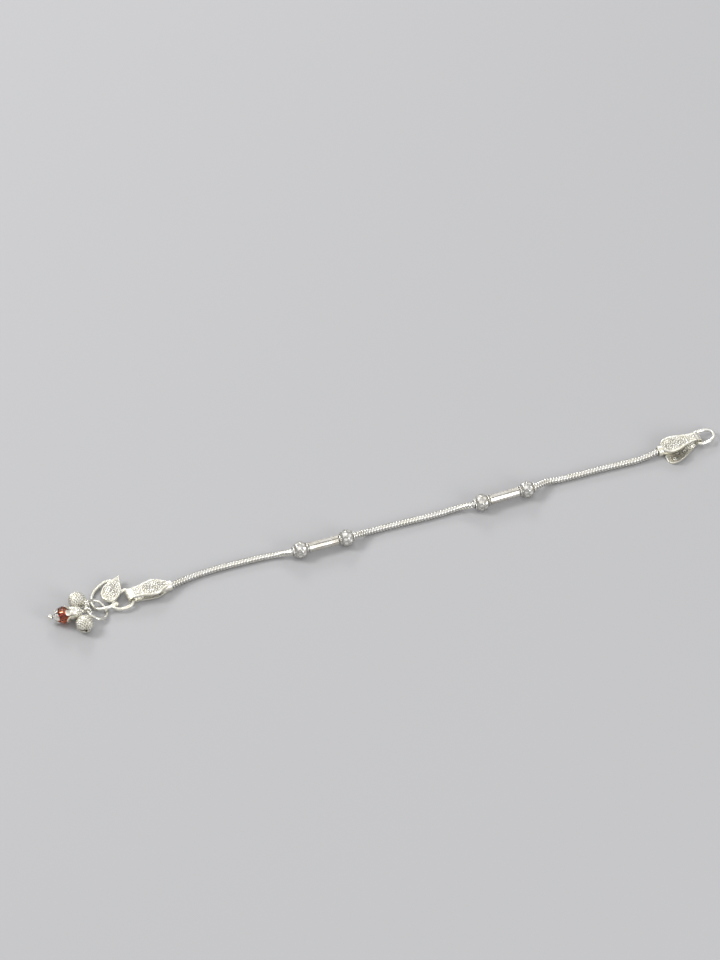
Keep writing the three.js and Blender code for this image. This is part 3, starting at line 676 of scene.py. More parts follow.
class ANKLET_OT_stage(bpy.types.Operator):
    """Camera at the photograph's angle, a pale surface and soft studio light"""

    bl_idname = "anklet.stage"
    bl_label = "Stage"

    def execute(self, context):
        settings = context.scene.anklet_stage
        azimuth = math.radians(VIEW_AZIMUTH)
        elevation = math.radians(VIEW_ELEVATION)
        back = np.array((
            math.sin(azimuth) * math.cos(elevation),
            -math.cos(azimuth) * math.cos(elevation),
            math.sin(elevation),
        ))
        right = np.array((math.cos(azimuth), math.sin(azimuth), 0.0))
        up = np.cross(back, right)
        across = (IMAGE_SIZE[0] / 2 - ORIGIN_PIXEL[0]) / PIXELS_PER_MM * MM
        upward = (ORIGIN_PIXEL[1] - IMAGE_SIZE[1] / 2) / PIXELS_PER_MM * MM
        eye = to_frame(np.zeros(3)) + right * across + up * upward + back * settings.distance

        lens = bpy.data.cameras.new("camera")
        lens.sensor_width = SENSOR
        lens.lens = SENSOR * settings.distance / (IMAGE_SIZE[1] / PIXELS_PER_MM * MM)
        lens.clip_start = 0.01
        camera = bpy.data.objects.new("camera", lens)
        camera.location = eye
        camera.rotation_euler = (math.pi / 2 - elevation, 0, azimuth)
        context.scene.collection.objects.link(camera)
        context.scene.camera = camera

        self.floor(context, settings)
        self.lights(context, settings)
        return {"FINISHED"}

    def floor(self, context, settings):
        """A level square on which the anklet lies."""
        corners = [(x * FLOOR_HALF, y * FLOOR_HALF, 0) for x, y in ((-1, -1), (1, -1), (1, 1), (-1, 1))]
        mesh = bpy.data.meshes.new("floor")
        mesh.from_pydata(corners, [], [(0, 1, 2, 3)])
        material = bpy.data.materials.new("floor")
        material.use_nodes = True
        tree = material.node_tree
        set_inputs(tree, tree.nodes["Principled BSDF"], {
            "Base Color": (*settings.floor_tone, 1), "Roughness": 0.9,
        })
        mesh.materials.append(material)
        floor = bpy.data.objects.new("floor", mesh)
        context.scene.collection.objects.link(floor)

    def lights(self, context, settings):
        """Area lights aimed at the anklet, and a soft world that is brighter overhead."""
        for name, place, size, share in LIGHTS:
            light = bpy.data.lights.new(name, "AREA")
            light.size = size
            light.energy = settings.key_power * share
            lamp = bpy.data.objects.new(name, light)
            back = unit(place)
            lamp.location = place
            lamp.rotation_euler = (math.acos(back[2]), 0, math.atan2(back[0], -back[1]))
            context.scene.collection.objects.link(lamp)
        world = bpy.data.worlds.new("studio")
        context.scene.world = world
        world.use_nodes = True
        tree = world.node_tree
        place = add_node(tree, "ShaderNodeTexCoord")
        split = add_node(tree, "ShaderNodeSeparateXYZ", {"Vector": place.outputs["Generated"]})
        ramp = add_node(tree, "ShaderNodeValToRGB", {"Fac": split.outputs["Z"]})
        stops = ramp.color_ramp.elements
        stops[0].position, stops[1].position = 0.0, 1.0
        stops[0].color, stops[1].color = (*SKY_LOW, 1), (1.0, 1.0, 1.0, 1)
        for upward, tone in SKY:
            stops.new(upward).color = (tone, tone, tone, 1)
        set_inputs(tree, tree.nodes["Background"], {"Strength": 1.0, "Color": ramp.outputs["Color"]})
        context.scene.view_settings.view_transform = "Standard"


# The strand

def chain_route():
    """Points that the chain passes: ferrule, free run, station and so on to the far ferrule."""
    def ferrule(cap):
        fold = strand_point(cap, FOLD_HEIGHT)
        return [fold + heading(cap[2]) * along for along in (MOUTH - CHAIN_INSERT, MOUTH)]

    def free(rows):
        return [strand_point(row, rise(row[2], CHAIN_RADIUS, BEAD_RADIUS)) for row in rows]

    def straight(station):
        bead = STATION_SPACING / 2
        end = bead + BEAD_LENGTH / 2 + CLEARANCE
        centre, forward = station_centre(station), heading(station[2])
        return [centre + forward * along for along in (-end, -bead, 0, bead, end)]

    left, middle, right = (free(rows) for rows in FREE_ROUTE)
    first, second = (straight(station) for station in STATIONS)
    return ferrule(LEFT_CAP) + left + first + middle + second + right + ferrule(RIGHT_CAP)[::-1]


class ANKLET_OT_snake_chain(bpy.types.Operator):
    """Snake chain with slanted ridges that meet in a zigzag"""

    bl_idname = "anklet.snake_chain"
    bl_label = "Snake chain"

    def execute(self, context):
        """Each ring's radius is the chain's, less the groove depth times one minus the ridge,
        less a shallow groove along each seam. The ridge is a cosine wave of the phase with its
        crests flattened by a power; the phase grows by one for each pitch along and swings to
        and fro twice round the chain, so the ridges slant from one seam to the next. The
        section is a square with round corners, and the grooves are deeper below."""
        settings = context.scene.anklet_strand
        pitch = settings.ridge_pitch / MM
        depth = settings.ridge_depth / MM
        coarse = catmull_rom(chain_route(), 2000)
        total = np.sum(np.linalg.norm(np.diff(coarse, axis=0), axis=1))
        steps = int(total / pitch * STEPS_A_RIDGE)
        path = catmull_rom(chain_route(), steps)
        turn = np.arange(CHAIN_SIDES)[None] / CHAIN_SIDES * 2 * np.pi
        along = np.linspace(0, total, steps)[:, None]
        from_seam = turn - math.radians(SEAM_TURN)
        phase = along / pitch + SLANT * np.cos(2 * from_seam)
        ridge = (0.5 - 0.5 * np.cos(2 * np.pi * phase)) ** RIDGE_POWER
        seam = np.broadcast_to(dome(np.sin(2 * from_seam), SEAM_HALF), ridge.shape)
        square = CORNER_SHARE - SIDE_FLATTENING * (1 - np.cos(4 * from_seam))
        lower = 1 - smooth(0.25, 0.5, np.sin(turn))
        groove = GROOVE_SHARE * (1 + lower) * (1 - ridge) + SEAM_DEPTH * seam
        radius = CHAIN_RADIUS * square - depth * groove
        points = carried(path, radius * np.cos(turn), radius * np.sin(turn))
        points[..., 2] = np.maximum(points[..., 2], 0)
        # Painted shade: the grooves are darkened, more on the chain's lower side, and the seams by their
        # shade
        hollow = np.maximum((1 - ridge) * (0.8 + 0.2 * lower), SEAM_SHADE * seam)
        chain = surface(points, painted_shade=hollow, wrap_columns=True, ends=True)
        make_piece("chain_links", [chain], silver("polished_silver"), ["snake_chain"])
        return {"FINISHED"}


# Beads: distance of the cuts from the centre, tilts of the windows and shoulders in degrees,
# place of a window as a share of half the bead, its half sizes as shares of the step round and
# of half the bead; the shoulders' flutes, how many to a window, and their depth; and the lip's
# height over the bore, its place and half width as shares of half the bead
BEAD_CUT = 0.955 * BEAD_RADIUS
WINDOW_TILT = 16
SHOULDER_TILT = 46
WINDOW_PLACE = 0.29
WINDOW_AROUND = 0.42
WINDOW_ALONG = 0.28
SHOULDER_FLUTES = 3
SHOULDER_DEPTH = 0.12
LIP_HEIGHT, LIP_PLACE, LIP_HALF = 0.6, 0.93, 0.12


def bead_surface(windows, dish):
    """Drilled round bead cut by planes.

    The radius at a place along is the least of the ball's, and of each cutting plane's: the
    plane's distance less its tilt times the place, over the cosine of the angle to it. Two
    staggered rows of windows go round the middle, dished, fine flutes are cut into the
    shoulders, a lip stands at each end, and the bore closes the profile."""
    half = BEAD_LENGTH / 2
    sides = windows * 18
    rows = 73
    turn = np.arange(sides)[None] / sides * 2 * np.pi
    along = (np.sin(np.linspace(-np.pi / 2, np.pi / 2, rows)) * half)[:, None]
    place = np.abs(along) / half
    radius = np.broadcast_to(np.sqrt(BEAD_RADIUS ** 2 - along ** 2), (rows, sides)).copy()
    step = 2 * np.pi / windows

    def nearest(offset):
        shifted = turn - offset * step
        return shifted - np.round(shifted / step) * step

    oval = np.full(radius.shape, np.inf)
    for side, offset in ((1, 0), (-1, 0.5)):
        for tilt, shift in ((WINDOW_TILT, offset), (SHOULDER_TILT, offset + 0.5)):
            lean = math.radians(tilt) * side
            plane = (BEAD_CUT - math.sin(lean) * along) / (math.cos(lean) * np.cos(nearest(shift)))
            radius = np.minimum(radius, plane)
        aside = nearest(offset) / (WINDOW_AROUND * step)
        oval = np.minimum(oval, np.hypot(aside, (along - side * WINDOW_PLACE * half) / (WINDOW_ALONG * half)))
    radius -= dish * np.clip(1 - oval ** 2, 0, 1)
    shoulder = window(0.56, 0.64, 0.84, 0.9, place)
    flute = (0.5 - 0.5 * np.cos(SHOULDER_FLUTES * windows * turn)) * shoulder
    radius -= SHOULDER_DEPTH * flute
    lip = BORE_RADIUS + LIP_HEIGHT * dome(place - LIP_PLACE, LIP_HALF)
    radius = np.maximum(radius, lip)
    # painted shade round each window's rim, in the groove by each lip and in the shoulders' flutes
    ring = window(0.8, 1.0, 1.0, 1.3, oval)
    groove = window(0.80, 0.84, 0.86, 0.90, place)
    painted_shade = np.maximum.reduce((ring, np.broadcast_to(groove, ring.shape), flute))
    return drilled(along, radius, painted_shade, turn, BORE_RADIUS, 8)


# Tubes: depth of a flute, distance of the flats and radius of the rims as shares of the tube's
# radius, fall of the rims' edges, and places of the mesh's rows as shares of half the tube
FLUTE_DEPTH = 0.17
FLAT_SHARE, RIM_SHARE = 0.925, 0.985
RIM_FALL = 0.14
TUBE_ROWS = (0.45, 0.9, 0.955, 0.962, 0.98, 0.995, 1)
BEAD_SPIN = 23     # degrees by which each bead is turned further round the chain


def tube_surface(flutes):
    """Drilled pipe with flats round it: the radius is the flat's distance over the cosine of
    the angle to it, less a round groove along each corner, and a rim stands at each end."""
    sides = flutes * 24
    turn = np.arange(sides)[None] / sides * 2 * np.pi
    step = 2 * np.pi / flutes
    off = (turn - np.round(turn / step) * step) / (step / 2)
    half = TUBE_LENGTH / 2
    rows = np.array(TUBE_ROWS)
    along = np.concatenate((-rows[::-1], (0, ), rows))[:, None] * half
    flat = FLAT_SHARE * TUBE_RADIUS / np.cos(off * step / 2)
    groove = FLUTE_DEPTH * dome(1 - np.abs(off), 0.3)
    radius = np.broadcast_to(flat - groove, (len(along), sides)).copy()
    end = smooth(0.950, 0.965, np.abs(along) / half)
    edge = smooth(0.985, 1.0, np.abs(along) / half)
    radius = radius * (1 - end) + (TUBE_RADIUS * RIM_SHARE - RIM_FALL * edge) * end
    # painted shade in the grooves along the corners, none on the rims
    painted_shade = np.broadcast_to(groove / FLUTE_DEPTH, radius.shape) * (1 - end)
    return drilled(along, radius, painted_shade, turn, BORE_RADIUS, 6)


class ANKLET_OT_stations(bpy.types.Operator):
    """Cut beads and fluted tubes of the two stations"""

    bl_idname = "anklet.stations"
    bl_label = "Beads and tubes"

    def execute(self, context):
        settings = context.scene.anklet_strand
        bead = bead_surface(settings.windows, settings.window_dish / MM)
        for number, (centre, forward) in enumerate(bead_centres(), 1):
            spin = math.radians(BEAD_SPIN * number)
            turn = np.array((
                (1, 0, 0), (0, math.cos(spin), math.sin(spin)), (0, -math.sin(spin), math.cos(spin)),
            ))
            spun = {**bead, "points": bead["points"] @ turn}
            make_piece(f"cut_bead_{number}", moved([spun], centre, forward), silver("polished_silver"),
                       [f"bead_{number}"], sharp=24)
        tube = tube_surface(settings.flutes)
        for number, station in enumerate(STATIONS, 1):
            make_piece(f"fluted_tube_{number}", moved([tube], station_centre(station), heading(station[2])),
                       silver("brushed_silver"), [f"tube_{number}"], sharp=24)
        return {"FINISHED"}


# The leaves

# Leaves: the relief's centre as a share of the length, and the share of it that rounds the tip;
# least share of the half width there, and margin of the edge's distance at a tip
CAP_CENTRE, CAP_TIP = 0.62, 0.03
PLATE_CENTRE, PLATE_TIP = 0.4, 0.035
TIP_LEAST = 0.02
TIP_MARGIN = 0.05


def edge_distance(along, across, half, length, slope):
    """Distance from a leaf's outline: the way across it less the half width, over the root of
    one plus the outline's slope squared, and never more than the way to the tip."""
    sideways = (half - np.abs(across)) / np.sqrt(1 + slope ** 2)
    return np.minimum(sideways, length - along + TIP_MARGIN)


# Relief on a leaf: place from the edge and half width of the rim; place, pitch and radius of the
# fine beads; place of the bar as a share of the centre's, and its half width; width of a
# scroll's wire and its clearance from the bar; and radius of a granule as a share of the pitch
RIM_PLACE, RIM_HALF = 0.34, 0.38
MILGRAIN_PLACE, MILGRAIN_PITCH, MILGRAIN_RADIUS = 0.95, 0.5, 0.24
BAR_PLACE, BAR_HALF = 0.46, 0.36
SCROLL_WIRE, SCROLL_CLEAR = 0.46, 0.4
GRANULE_SHARE = 0.48
# Heights as shares of the rim's
MILGRAIN_HEIGHT, BAR_HEIGHT, SCROLL_HEIGHT, GRANULE_HEIGHT = 0.6, 0.85, 0.9, 0.65
# Scrolls on a leaf: their radius, then place along from the centre, place across, and sense
SCROLL_RADIUS = 1.5
SCROLLS = ((-2.7, 0.95, 1), (0.0, -1.0, -1), (2.6, 0.75, 1))


def leaf_relief(along, across, edge, centre, casting):
    """Height of the cast relief on a leaf, and the painted shade on the ground below it.

    The height is the greatest of a round rim along the edge, a row of fine beads inside it, a
    cross bar near the fold, a vine of spiral scrolls that change sides and sense and keep
    clear of the bar, and a field of lower granules between them."""
    rim = dome(edge - RIM_PLACE, RIM_HALF)
    off = (along / MILGRAIN_PITCH - np.round(along / MILGRAIN_PITCH)) * MILGRAIN_PITCH
    milgrain = dome(np.hypot(edge - MILGRAIN_PLACE, off), MILGRAIN_RADIUS)
    from_bar = along - BAR_PLACE * centre
    bar = dome(from_bar, BAR_HALF) * smooth(0.2, 0.5, edge)
    curl = np.zeros(across.shape)
    clear = np.full(across.shape, np.inf)
    scroll_pitch = casting.scroll_pitch / MM
    turns = SCROLL_RADIUS / scroll_pitch
    for place, aside, sense in SCROLLS:
        if (1 - BAR_PLACE) * centre + place < SCROLL_RADIUS + SCROLL_CLEAR:
            continue
        u = along - centre - place
        v = across - aside
        curl = np.maximum(curl, spiral(u, sense * v, scroll_pitch, turns, SCROLL_WIRE))
        clear = np.minimum(clear, np.hypot(u, v))
    curl = curl * smooth(0.8, 1.15, edge)
    pitch = casting.granule_pitch / MM
    ground = granules(along, across, pitch, GRANULE_SHARE * pitch) * smooth(1.1, 1.3, edge)
    ground = ground * smooth(SCROLL_RADIUS - 0.15, SCROLL_RADIUS + 0.05, clear)
    ground = ground * smooth(0.45, 0.65, np.abs(from_bar))
    calm = 0.65 + 0.35 * smooth(0, 0.6, from_bar)
    height = np.maximum.reduce((
        rim, MILGRAIN_HEIGHT * milgrain, BAR_HEIGHT * bar, SCROLL_HEIGHT * curl,
        GRANULE_HEIGHT * ground * calm,
    ))
    # the second value is painted shade on the low ground, lighter between the fold and the bar
    return casting.relief / MM * height, (1 - smooth(0.05, 0.5, height)) * calm


def folded_leaf(outline, splay, casting):
    """A strip with a leaf at each end, folded in half round the wire.

    The middle of the sheet runs along the lower leaf, round a half circle and back along the
    upper leaf. Each point stands off it by half the sheet, and by the relief on the faces that
    look up. The upper leaf is crowned and the lower one cupped by the square of the place
    across, and the lower leaf is turned aside about the fold's centre by splay degrees."""
    middle = FOLD_GAP / 2 + SHEET / 2
    lower = 1 - np.linspace(0, 1, 150) ** 1.5
    bend = np.linspace(0, 1, 26)[1:-1]
    upper = 1 - np.linspace(1, 0, 170) ** 1.5
    angle = -np.pi / 2 - bend * np.pi
    x = np.concatenate((lower * CAP_LENGTH, middle * np.cos(angle), upper * CAP_LENGTH))
    z = np.concatenate((np.full(lower.size, -middle), middle * np.sin(angle), np.full(upper.size, middle)))
    nx = np.concatenate((np.zeros(lower.size), np.cos(angle), np.zeros(upper.size)))
    nz = np.concatenate((-np.ones(lower.size), np.sin(angle), np.ones(upper.size)))
    share = np.concatenate((lower, np.zeros(bend.size), upper))
    twist = np.concatenate((np.ones(lower.size), 1 - smooth(0, 0.5, bend), np.zeros(upper.size)))
    below = np.concatenate((np.ones(lower.size), np.zeros(bend.size + upper.size)))[:, None]
    above = np.concatenate((np.zeros(lower.size + bend.size), np.ones(upper.size)))[:, None]
    half = (outline_width(outline, share) * CAP_WIDTH / 2)[:, None]
    half = half * np.sqrt(np.clip((1 - share) / CAP_TIP, TIP_LEAST, 1))[:, None]
    run = (share * CAP_LENGTH)[:, None]
    rise_in = smooth(0.0, 0.05, share)[:, None]
    slope = np.zeros(half.shape)
    np.divide(np.gradient(half, axis=0), np.gradient(run, axis=0), out=slope, where=run > 0)

    def face(columns, leaf):
        across = np.sin(np.linspace(-np.pi / 2, np.pi / 2, columns))[None] * half
        edge = edge_distance(run, across, half, CAP_LENGTH, np.clip(slope, -2, 2))
        height, painted_shade = leaf_relief(run, across, edge, CAP_CENTRE * CAP_LENGTH, casting)
        return across, height * leaf * rise_in, painted_shade * leaf * rise_in

    outer_across, outer_height, outer_painted_shade = face(76, above)
    inner_across, inner_height, inner_painted_shade = (rows[:, ::-1] for rows in face(60, below))
    y = np.hstack((outer_across, inner_across))
    reach = np.hstack((SHEET / 2 + outer_height, -SHEET / 2 - 0.6 * inner_height))
    bow = 0.25 * above * (0.6 - (y / half) ** 2) + LEAF_CUP * below * (2 * y / CAP_WIDTH) ** 2
    # Painted shade: on the low ground of the faces, and half shade under the upper leaf
    hollow = np.hstack((outer_painted_shade, np.maximum(inner_painted_shade, 0.5 * above)))
    px = x[:, None] + nx[:, None] * reach
    pz = z[:, None] + nz[:, None] * reach + bow * rise_in
    turn = np.radians(splay * twist)[:, None]
    sine, cosine = np.sin(turn), np.cos(turn)
    points = np.stack((px * cosine - y * sine, px * sine + y * cosine, pz), axis=-1)
    return surface(points, hollow, wrap_columns=True, ends=True)


def ferrule_parts():
    """The ferrule: a rounded pipe with a rolled rim at its mouth."""
    outer = BORE_RADIUS + FERRULE_WALL
    pipe = rounded_pipe(MOUTH - FERRULE_LENGTH, MOUTH, BORE_RADIUS, outer, 0.2)
    rim = rounded_pipe(MOUTH - 0.7, MOUTH - 0.05, BORE_RADIUS + 0.1, outer + 0.04, 0.24)
    return [pipe, rim]


class ANKLET_OT_end_caps(bpy.types.Operator):
    """Folded leaf caps with their ferrules"""

    bl_idname = "anklet.end_caps"
    bl_label = "End caps"

    def execute(self, context):
        casting = context.scene.anklet_casting
        for side, cap, outline, splay in (
            ("left", LEFT_CAP, POINTED_LEAF, 0), ("right", RIGHT_CAP, ROUND_LEAF, RIGHT_SPLAY),
        ):
            fold = strand_point(cap, FOLD_HEIGHT)
            parts = moved([folded_leaf(outline, splay, casting), *ferrule_parts()], fold, heading(cap[2]))
            make_piece(f"leaf_cap_{side}", parts, silver("cast_silver"),
                       [f"end_cap_{side}"], sharp=50)
        return {"FINISHED"}


# The hook and the rings

def hook_path(route, length, width, back, count, closed):
    """Smooth path through a hook route, measured back from the left cap's fold."""
    fold = strand_point(LEFT_CAP, FOLD_HEIGHT)
    points = [
        (fold[0] - back - row[0] * length, fold[1] + row[1] * width, rise(row[2], HOOK_WIRE / 2, FOLD_HEIGHT))
        for row in route
    ]
    return catmull_rom(points, count, closed)


PLATE_CROWN = 0.2
JOINT_RADIUS = 1.05     # ball of solder between the hook's arc and its leaf


def leaf_plate(casting):
    """The hook's leaf: relief and a low crown on top, straight sides and a flat underside."""
    share = (1 - np.cos(np.linspace(0, np.pi, 200))) / 2
    half = (outline_width(HOOK_LEAF, share) * LEAF_WIDTH / 2)[:, None]
    half = half * np.sqrt(np.clip(share / PLATE_TIP, TIP_LEAST, 1))[:, None]
    x = (share * LEAF_LENGTH)[:, None]
    across = np.sin(np.linspace(-np.pi / 2, np.pi / 2, 76))[None] * half
    slope = np.gradient(half[:, 0], x[:, 0])[:, None]
    edge = np.minimum(edge_distance(x, across, half, LEAF_LENGTH, slope), x + TIP_MARGIN)
    height, painted_shade = leaf_relief(x, across, edge, PLATE_CENTRE * LEAF_LENGTH, casting)
    crown = PLATE_CROWN * (1 - (across / half) ** 2)
    top = LEAF_THICKNESS + height + crown
    under = np.linspace(1, -1, 10)[None] * half
    y = np.hstack((across, under))
    z = np.hstack((top, np.zeros(under.shape)))
    # painted shade on the plate's underside
    hollow = np.hstack((painted_shade, np.full(under.shape, 0.4)))
    points = np.stack((np.broadcast_to(x, y.shape), y, z), axis=-1)
    return surface(points, hollow, wrap_columns=True, ends=True)


class ANKLET_OT_leaf_hook(bpy.types.Operator):
    """Wire hook with its link and its leaf plate, soldered into one piece"""

    bl_idname = "anklet.leaf_hook"
    bl_label = "Leaf hook"

    def execute(self, context):
        fold = strand_point(LEFT_CAP, FOLD_HEIGHT)
        link = hook_path(LINK_ROUTE, HOOK_LINK_LENGTH, HOOK_LINK_WIDTH, 0, 150, True)
        arc = hook_path(ARC_ROUTE, HOOK_ARC_LENGTH, HOOK_ARC_WIDTH, HOOK_LINK_LENGTH / 2, 170, False)
        foot = fold + np.array((-LEAF_BACK * HOOK_LINK_LENGTH, LEAF_ASIDE * HOOK_LINK_WIDTH, HOOK_WIRE / 4))
        plate = moved([leaf_plate(context.scene.anklet_casting)], foot, heading(LEAF_HEADING))
        joint = moved([ball(0, JOINT_RADIUS)], arc[-1], heading(0))
        parts = [wire(link, HOOK_WIRE / 2, closed=True), wire(arc, HOOK_WIRE / 2), *plate, *joint]
        make_piece("leaf_hook", parts, silver("cast_silver"), ["s_hook"], sharp=50)
        return {"FINISHED"}


# Jump ring: radius of its middle line, and place of its centre back and aside as shares of the
# hook's arc
JUMP_RING_RADIUS = (JUMP_RING_DIAMETER - JUMP_RING_WIRE) / 2
JUMP_RING_BACK, JUMP_RING_ASIDE = 0.99, -0.23


def jump_ring_points(points):
    """Points of the level ring, leaned so that one side is low, and moved to its centre."""
    lean, swing = math.radians(JUMP_RING_TILT), math.radians(JUMP_RING_LOW_SIDE)
    about_y = np.array((
        (math.cos(lean), 0, -math.sin(lean)), (0, 1, 0), (math.sin(lean), 0, math.cos(lean)),
    ))
    about_z = np.array((
        (math.cos(swing), math.sin(swing), 0), (-math.sin(swing), math.cos(swing), 0), (0, 0, 1),
    ))
    fold = strand_point(LEFT_CAP, FOLD_HEIGHT)
    centre = np.array((
        fold[0] - HOOK_LINK_LENGTH / 2 - JUMP_RING_BACK * HOOK_ARC_LENGTH,
        fold[1] + JUMP_RING_ASIDE * HOOK_ARC_WIDTH,
        JUMP_RING_WIRE / 2 + JUMP_RING_RADIUS * math.sin(lean),
    ))
    return centre + points @ about_y @ about_z


def on_jump_ring(degrees):
    """Point of the jump ring's middle line."""
    return jump_ring_points(heading(degrees - JUMP_RING_LOW_SIDE) * JUMP_RING_RADIUS)


class ANKLET_OT_rings(bpy.types.Operator):
    """Oval ring of the right cap and the jump ring of the drops"""

    bl_idname = "anklet.rings"
    bl_label = "Rings"

    def execute(self, context):
        long = (END_RING_LENGTH - END_RING_WIRE) / 2
        short = (END_RING_WIDTH - END_RING_WIRE) / 2
        shares = OVAL_HALF + ((1, 0),) + tuple((x, -y) for x, y in OVAL_HALF[::-1])
        oval = np.array([(x * long + long, y * short, 0) for x, y in shares])
        fold = strand_point(RIGHT_CAP, FOLD_HEIGHT)
        path = placed(catmull_rom(oval, 120, True), fold, heading(RIGHT_CAP[2] + 180))
        make_piece("oval_ring", [wire(path, END_RING_WIRE / 2, closed=True)], silver("polished_silver"),
                   ["end_ring"])
        ring = torus(JUMP_RING_RADIUS, JUMP_RING_WIRE, around=96)
        ring["points"] = jump_ring_points(ring["points"])
        make_piece("drop_ring", [ring], silver("polished_silver"), ["jump_ring"])
        return {"FINISHED"}


# The bells

# Granules: pitch and radius, and height, on the bells and on the collar; half width of a bell's
# seam band, half length of its slit as a share of its radius, and rows of the boss under its
# loop: place out from the shell, and radius
BELL_GRANULES, BELL_GRANULE_HEIGHT = (1.06, 0.49), 0.25
COLLAR_GRANULES, COLLAR_GRANULE_HEIGHT = (1.0, 0.48), 0.3
BAND_HALF = 0.36
SLIT_HALF = 0.62
BELL_BOSS = ((-0.3, 0.0), (-0.1, 0.9), (0.22, 0.8), (0.42, 0.5), (0.45, 0.0))


def bell_shell():
    """Hollow ball with its loop on +X: granules in rows on both halves, a seam band between
    them, and a smooth far pole for the slit. The inner ball closes the wall."""
    polar = np.linspace(0, np.pi, 121)[:, None]
    turn = np.arange(150)[None] / 150 * 2 * np.pi
    arc = polar * BELL_RADIUS
    around = turn * BELL_RADIUS * np.sin(np.clip(polar, 0.35, np.pi - 0.35))
    rows = window(0.25, 0.4, 2.62, 2.72, polar) * smooth(0.10, 0.18, np.abs(polar - np.pi / 2))
    grain = granules(around, arc, *BELL_GRANULES) * rows
    band = dome(arc - BELL_RADIUS * np.pi / 2, BAND_HALF)
    radius = BELL_RADIUS + BELL_GRANULE_HEIGHT * grain + (BELL_BAND - 0.02) * band
    # painted shade between the granules
    painted_shade = (1 - smooth(0.15, 0.65, grain)) * rows
    outer = surface(revolved(radius * np.cos(polar), radius * np.sin(polar), turn), painted_shade, wrap_columns=True)
    inner = ball(0, BELL_RADIUS - BELL_WALL, 48)
    inner["quads"] = inner["quads"][:, ::-1]
    # painted shade inside the bell
    inner["painted_shade"] = np.ones(len(inner["points"]))
    return [outer, inner]


def slit_cutter():
    """A stadium-shaped cutter with a round hole at each end, across the bell's far pole."""
    turn = np.linspace(0, 2 * np.pi, 24, endpoint=False)
    half = SLIT_HALF * BELL_RADIUS
    sections = [(revolved(0.0, BELL_SLIT, turn) + (0, side * half, 0), 0.5) for side in (-1, 1)]
    corners = [(0, y * half, z * BELL_SLIT / 2) for y, z in ((-1, -1), (1, -1), (1, 1), (-1, 1))]
    sections.append((np.array(corners), 0.55))
    cutters = []
    for section, near in sections:
        rows = np.stack([section + (-BELL_RADIUS * reach, 0, 0) for reach in (2, near)])
        cutters.append(surface(rows, wrap_columns=True, ends=True))
    return cutters


def cut_with(piece, cutters):
    """Takes the cutters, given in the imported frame, out of the piece with a boolean."""
    for number, part in enumerate(cutters):
        mesh = bpy.data.meshes.new("cutter")
        mesh.from_pydata(to_frame(part["points"]).tolist(), [], part["quads"].tolist() + part["flat"])
        cutter = bpy.data.objects.new(f"cutter_{number}", mesh)
        bpy.context.scene.collection.objects.link(cutter)
        change = piece.modifiers.new("slit", "BOOLEAN")
        change.operation = "DIFFERENCE"
        change.solver = "EXACT"
        change.object = cutter
        result = bpy.data.meshes.new_from_object(piece.evaluated_get(bpy.context.evaluated_depsgraph_get()))
        piece.modifiers.clear()
        piece.data = result
        bpy.data.objects.remove(cutter)


def bell_pose(seat):
    """Centre of a bell and the direction to its loop, from its seat on the jump ring."""
    loop_radius = JUMP_RING_WIRE / 2 + BELL_LOOP_PLAY + BELL_LOOP_WIRE / 2
    reach = BELL_RADIUS + loop_radius
    held = on_jump_ring(seat[0])
    drop = held[2] - BELL_RADIUS - BELL_BAND
    centre = held + heading(seat[1]) * math.sqrt(reach ** 2 - drop ** 2)
    centre[2] = BELL_RADIUS + BELL_BAND
    return centre, held - centre, reach, loop_radius


class ANKLET_OT_bells(bpy.types.Operator):
    """Hollow bells with a slit, a seam band and a loop"""

    bl_idname = "anklet.bells"
    bl_label = "Bells"

    def execute(self, context):
        for number, seat in enumerate(BELL_SEATS, 1):
            centre, direction, reach, loop_radius = bell_pose(seat)
            nodes = [f"bell_{number}"]
            bell = make_piece(f"bell_shell_{number}", moved(bell_shell(), centre, direction),
                              silver("cast_silver"), nodes, sharp=50)
            cut_with(bell, moved(slit_cutter(), centre, direction))
            loop = standing(torus(loop_radius, BELL_LOOP_WIRE, around=40, sides=14), reach)
            boss = turned([(BELL_RADIUS + out, radius) for out, radius in BELL_BOSS], 28, closed=False)
            make_piece(f"bell_loop_{number}", moved((loop, boss), centre, direction),
                       silver("polished_silver"), nodes)
        return {"FINISHED"}


# The stone drop, along +X from the centre of the pin's eye

EYE_RADIUS = JUMP_RING_WIRE / 2 + PIN_EYE_PLAY + PIN_RADIUS
PIN_BORE = PIN_RADIUS + CLEARANCE
COLLAR_START = EYE_RADIUS + PIN_RADIUS + CLEARANCE
COLLAR_END = COLLAR_START + 2 * COLLAR_RADIUS
STONE_START = COLLAR_END + CLEARANCE
STONE_END = STONE_START + STONE_LENGTH
TIP_START = STONE_END + CLEARANCE + BEAD_CAP_WALL
# Coil on the pin: turns, place of the first past the eye, pitch, radius and wire's radius
COIL_TURNS = 2
COIL_START, COIL_PITCH, COIL_RADIUS, COIL_WIRE = 0.25, 0.36, 0.62, 0.2
# Flower cups: petals and length behind the stone's table; depth of the notches as a share of the
# cup, power that rounds a petal's tip, wall at its edges, and height of its pillow
UPPER_PETALS, UPPER_BACK = 6, 2.9
LOWER_PETALS, LOWER_BACK = 5, 0.75
PETAL_NOTCH, PETAL_POWER, PETAL_EDGE, PILLOW = 0.6, 2.6, 0.16, 0.5
# Stone: corners of a ring, and rings: place along and radius as shares, and shift in corners
STONE_SIDES = 12
STONE_ROWS = ((0, STONE_TABLE / STONE_RADIUS, 0), (0.24, 0.8, 0.5), (0.5, 1, 0), (0.76, 0.8, 0.5),
              (1, STONE_TABLE / STONE_RADIUS, 0))


def stone_radius(distance):
    """Radius of the stone's round envelope at a distance from its table."""
    rows = np.array(STONE_ROWS)
    return np.interp(distance / STONE_LENGTH, rows[:, 0], rows[:, 1]) * STONE_RADIUS


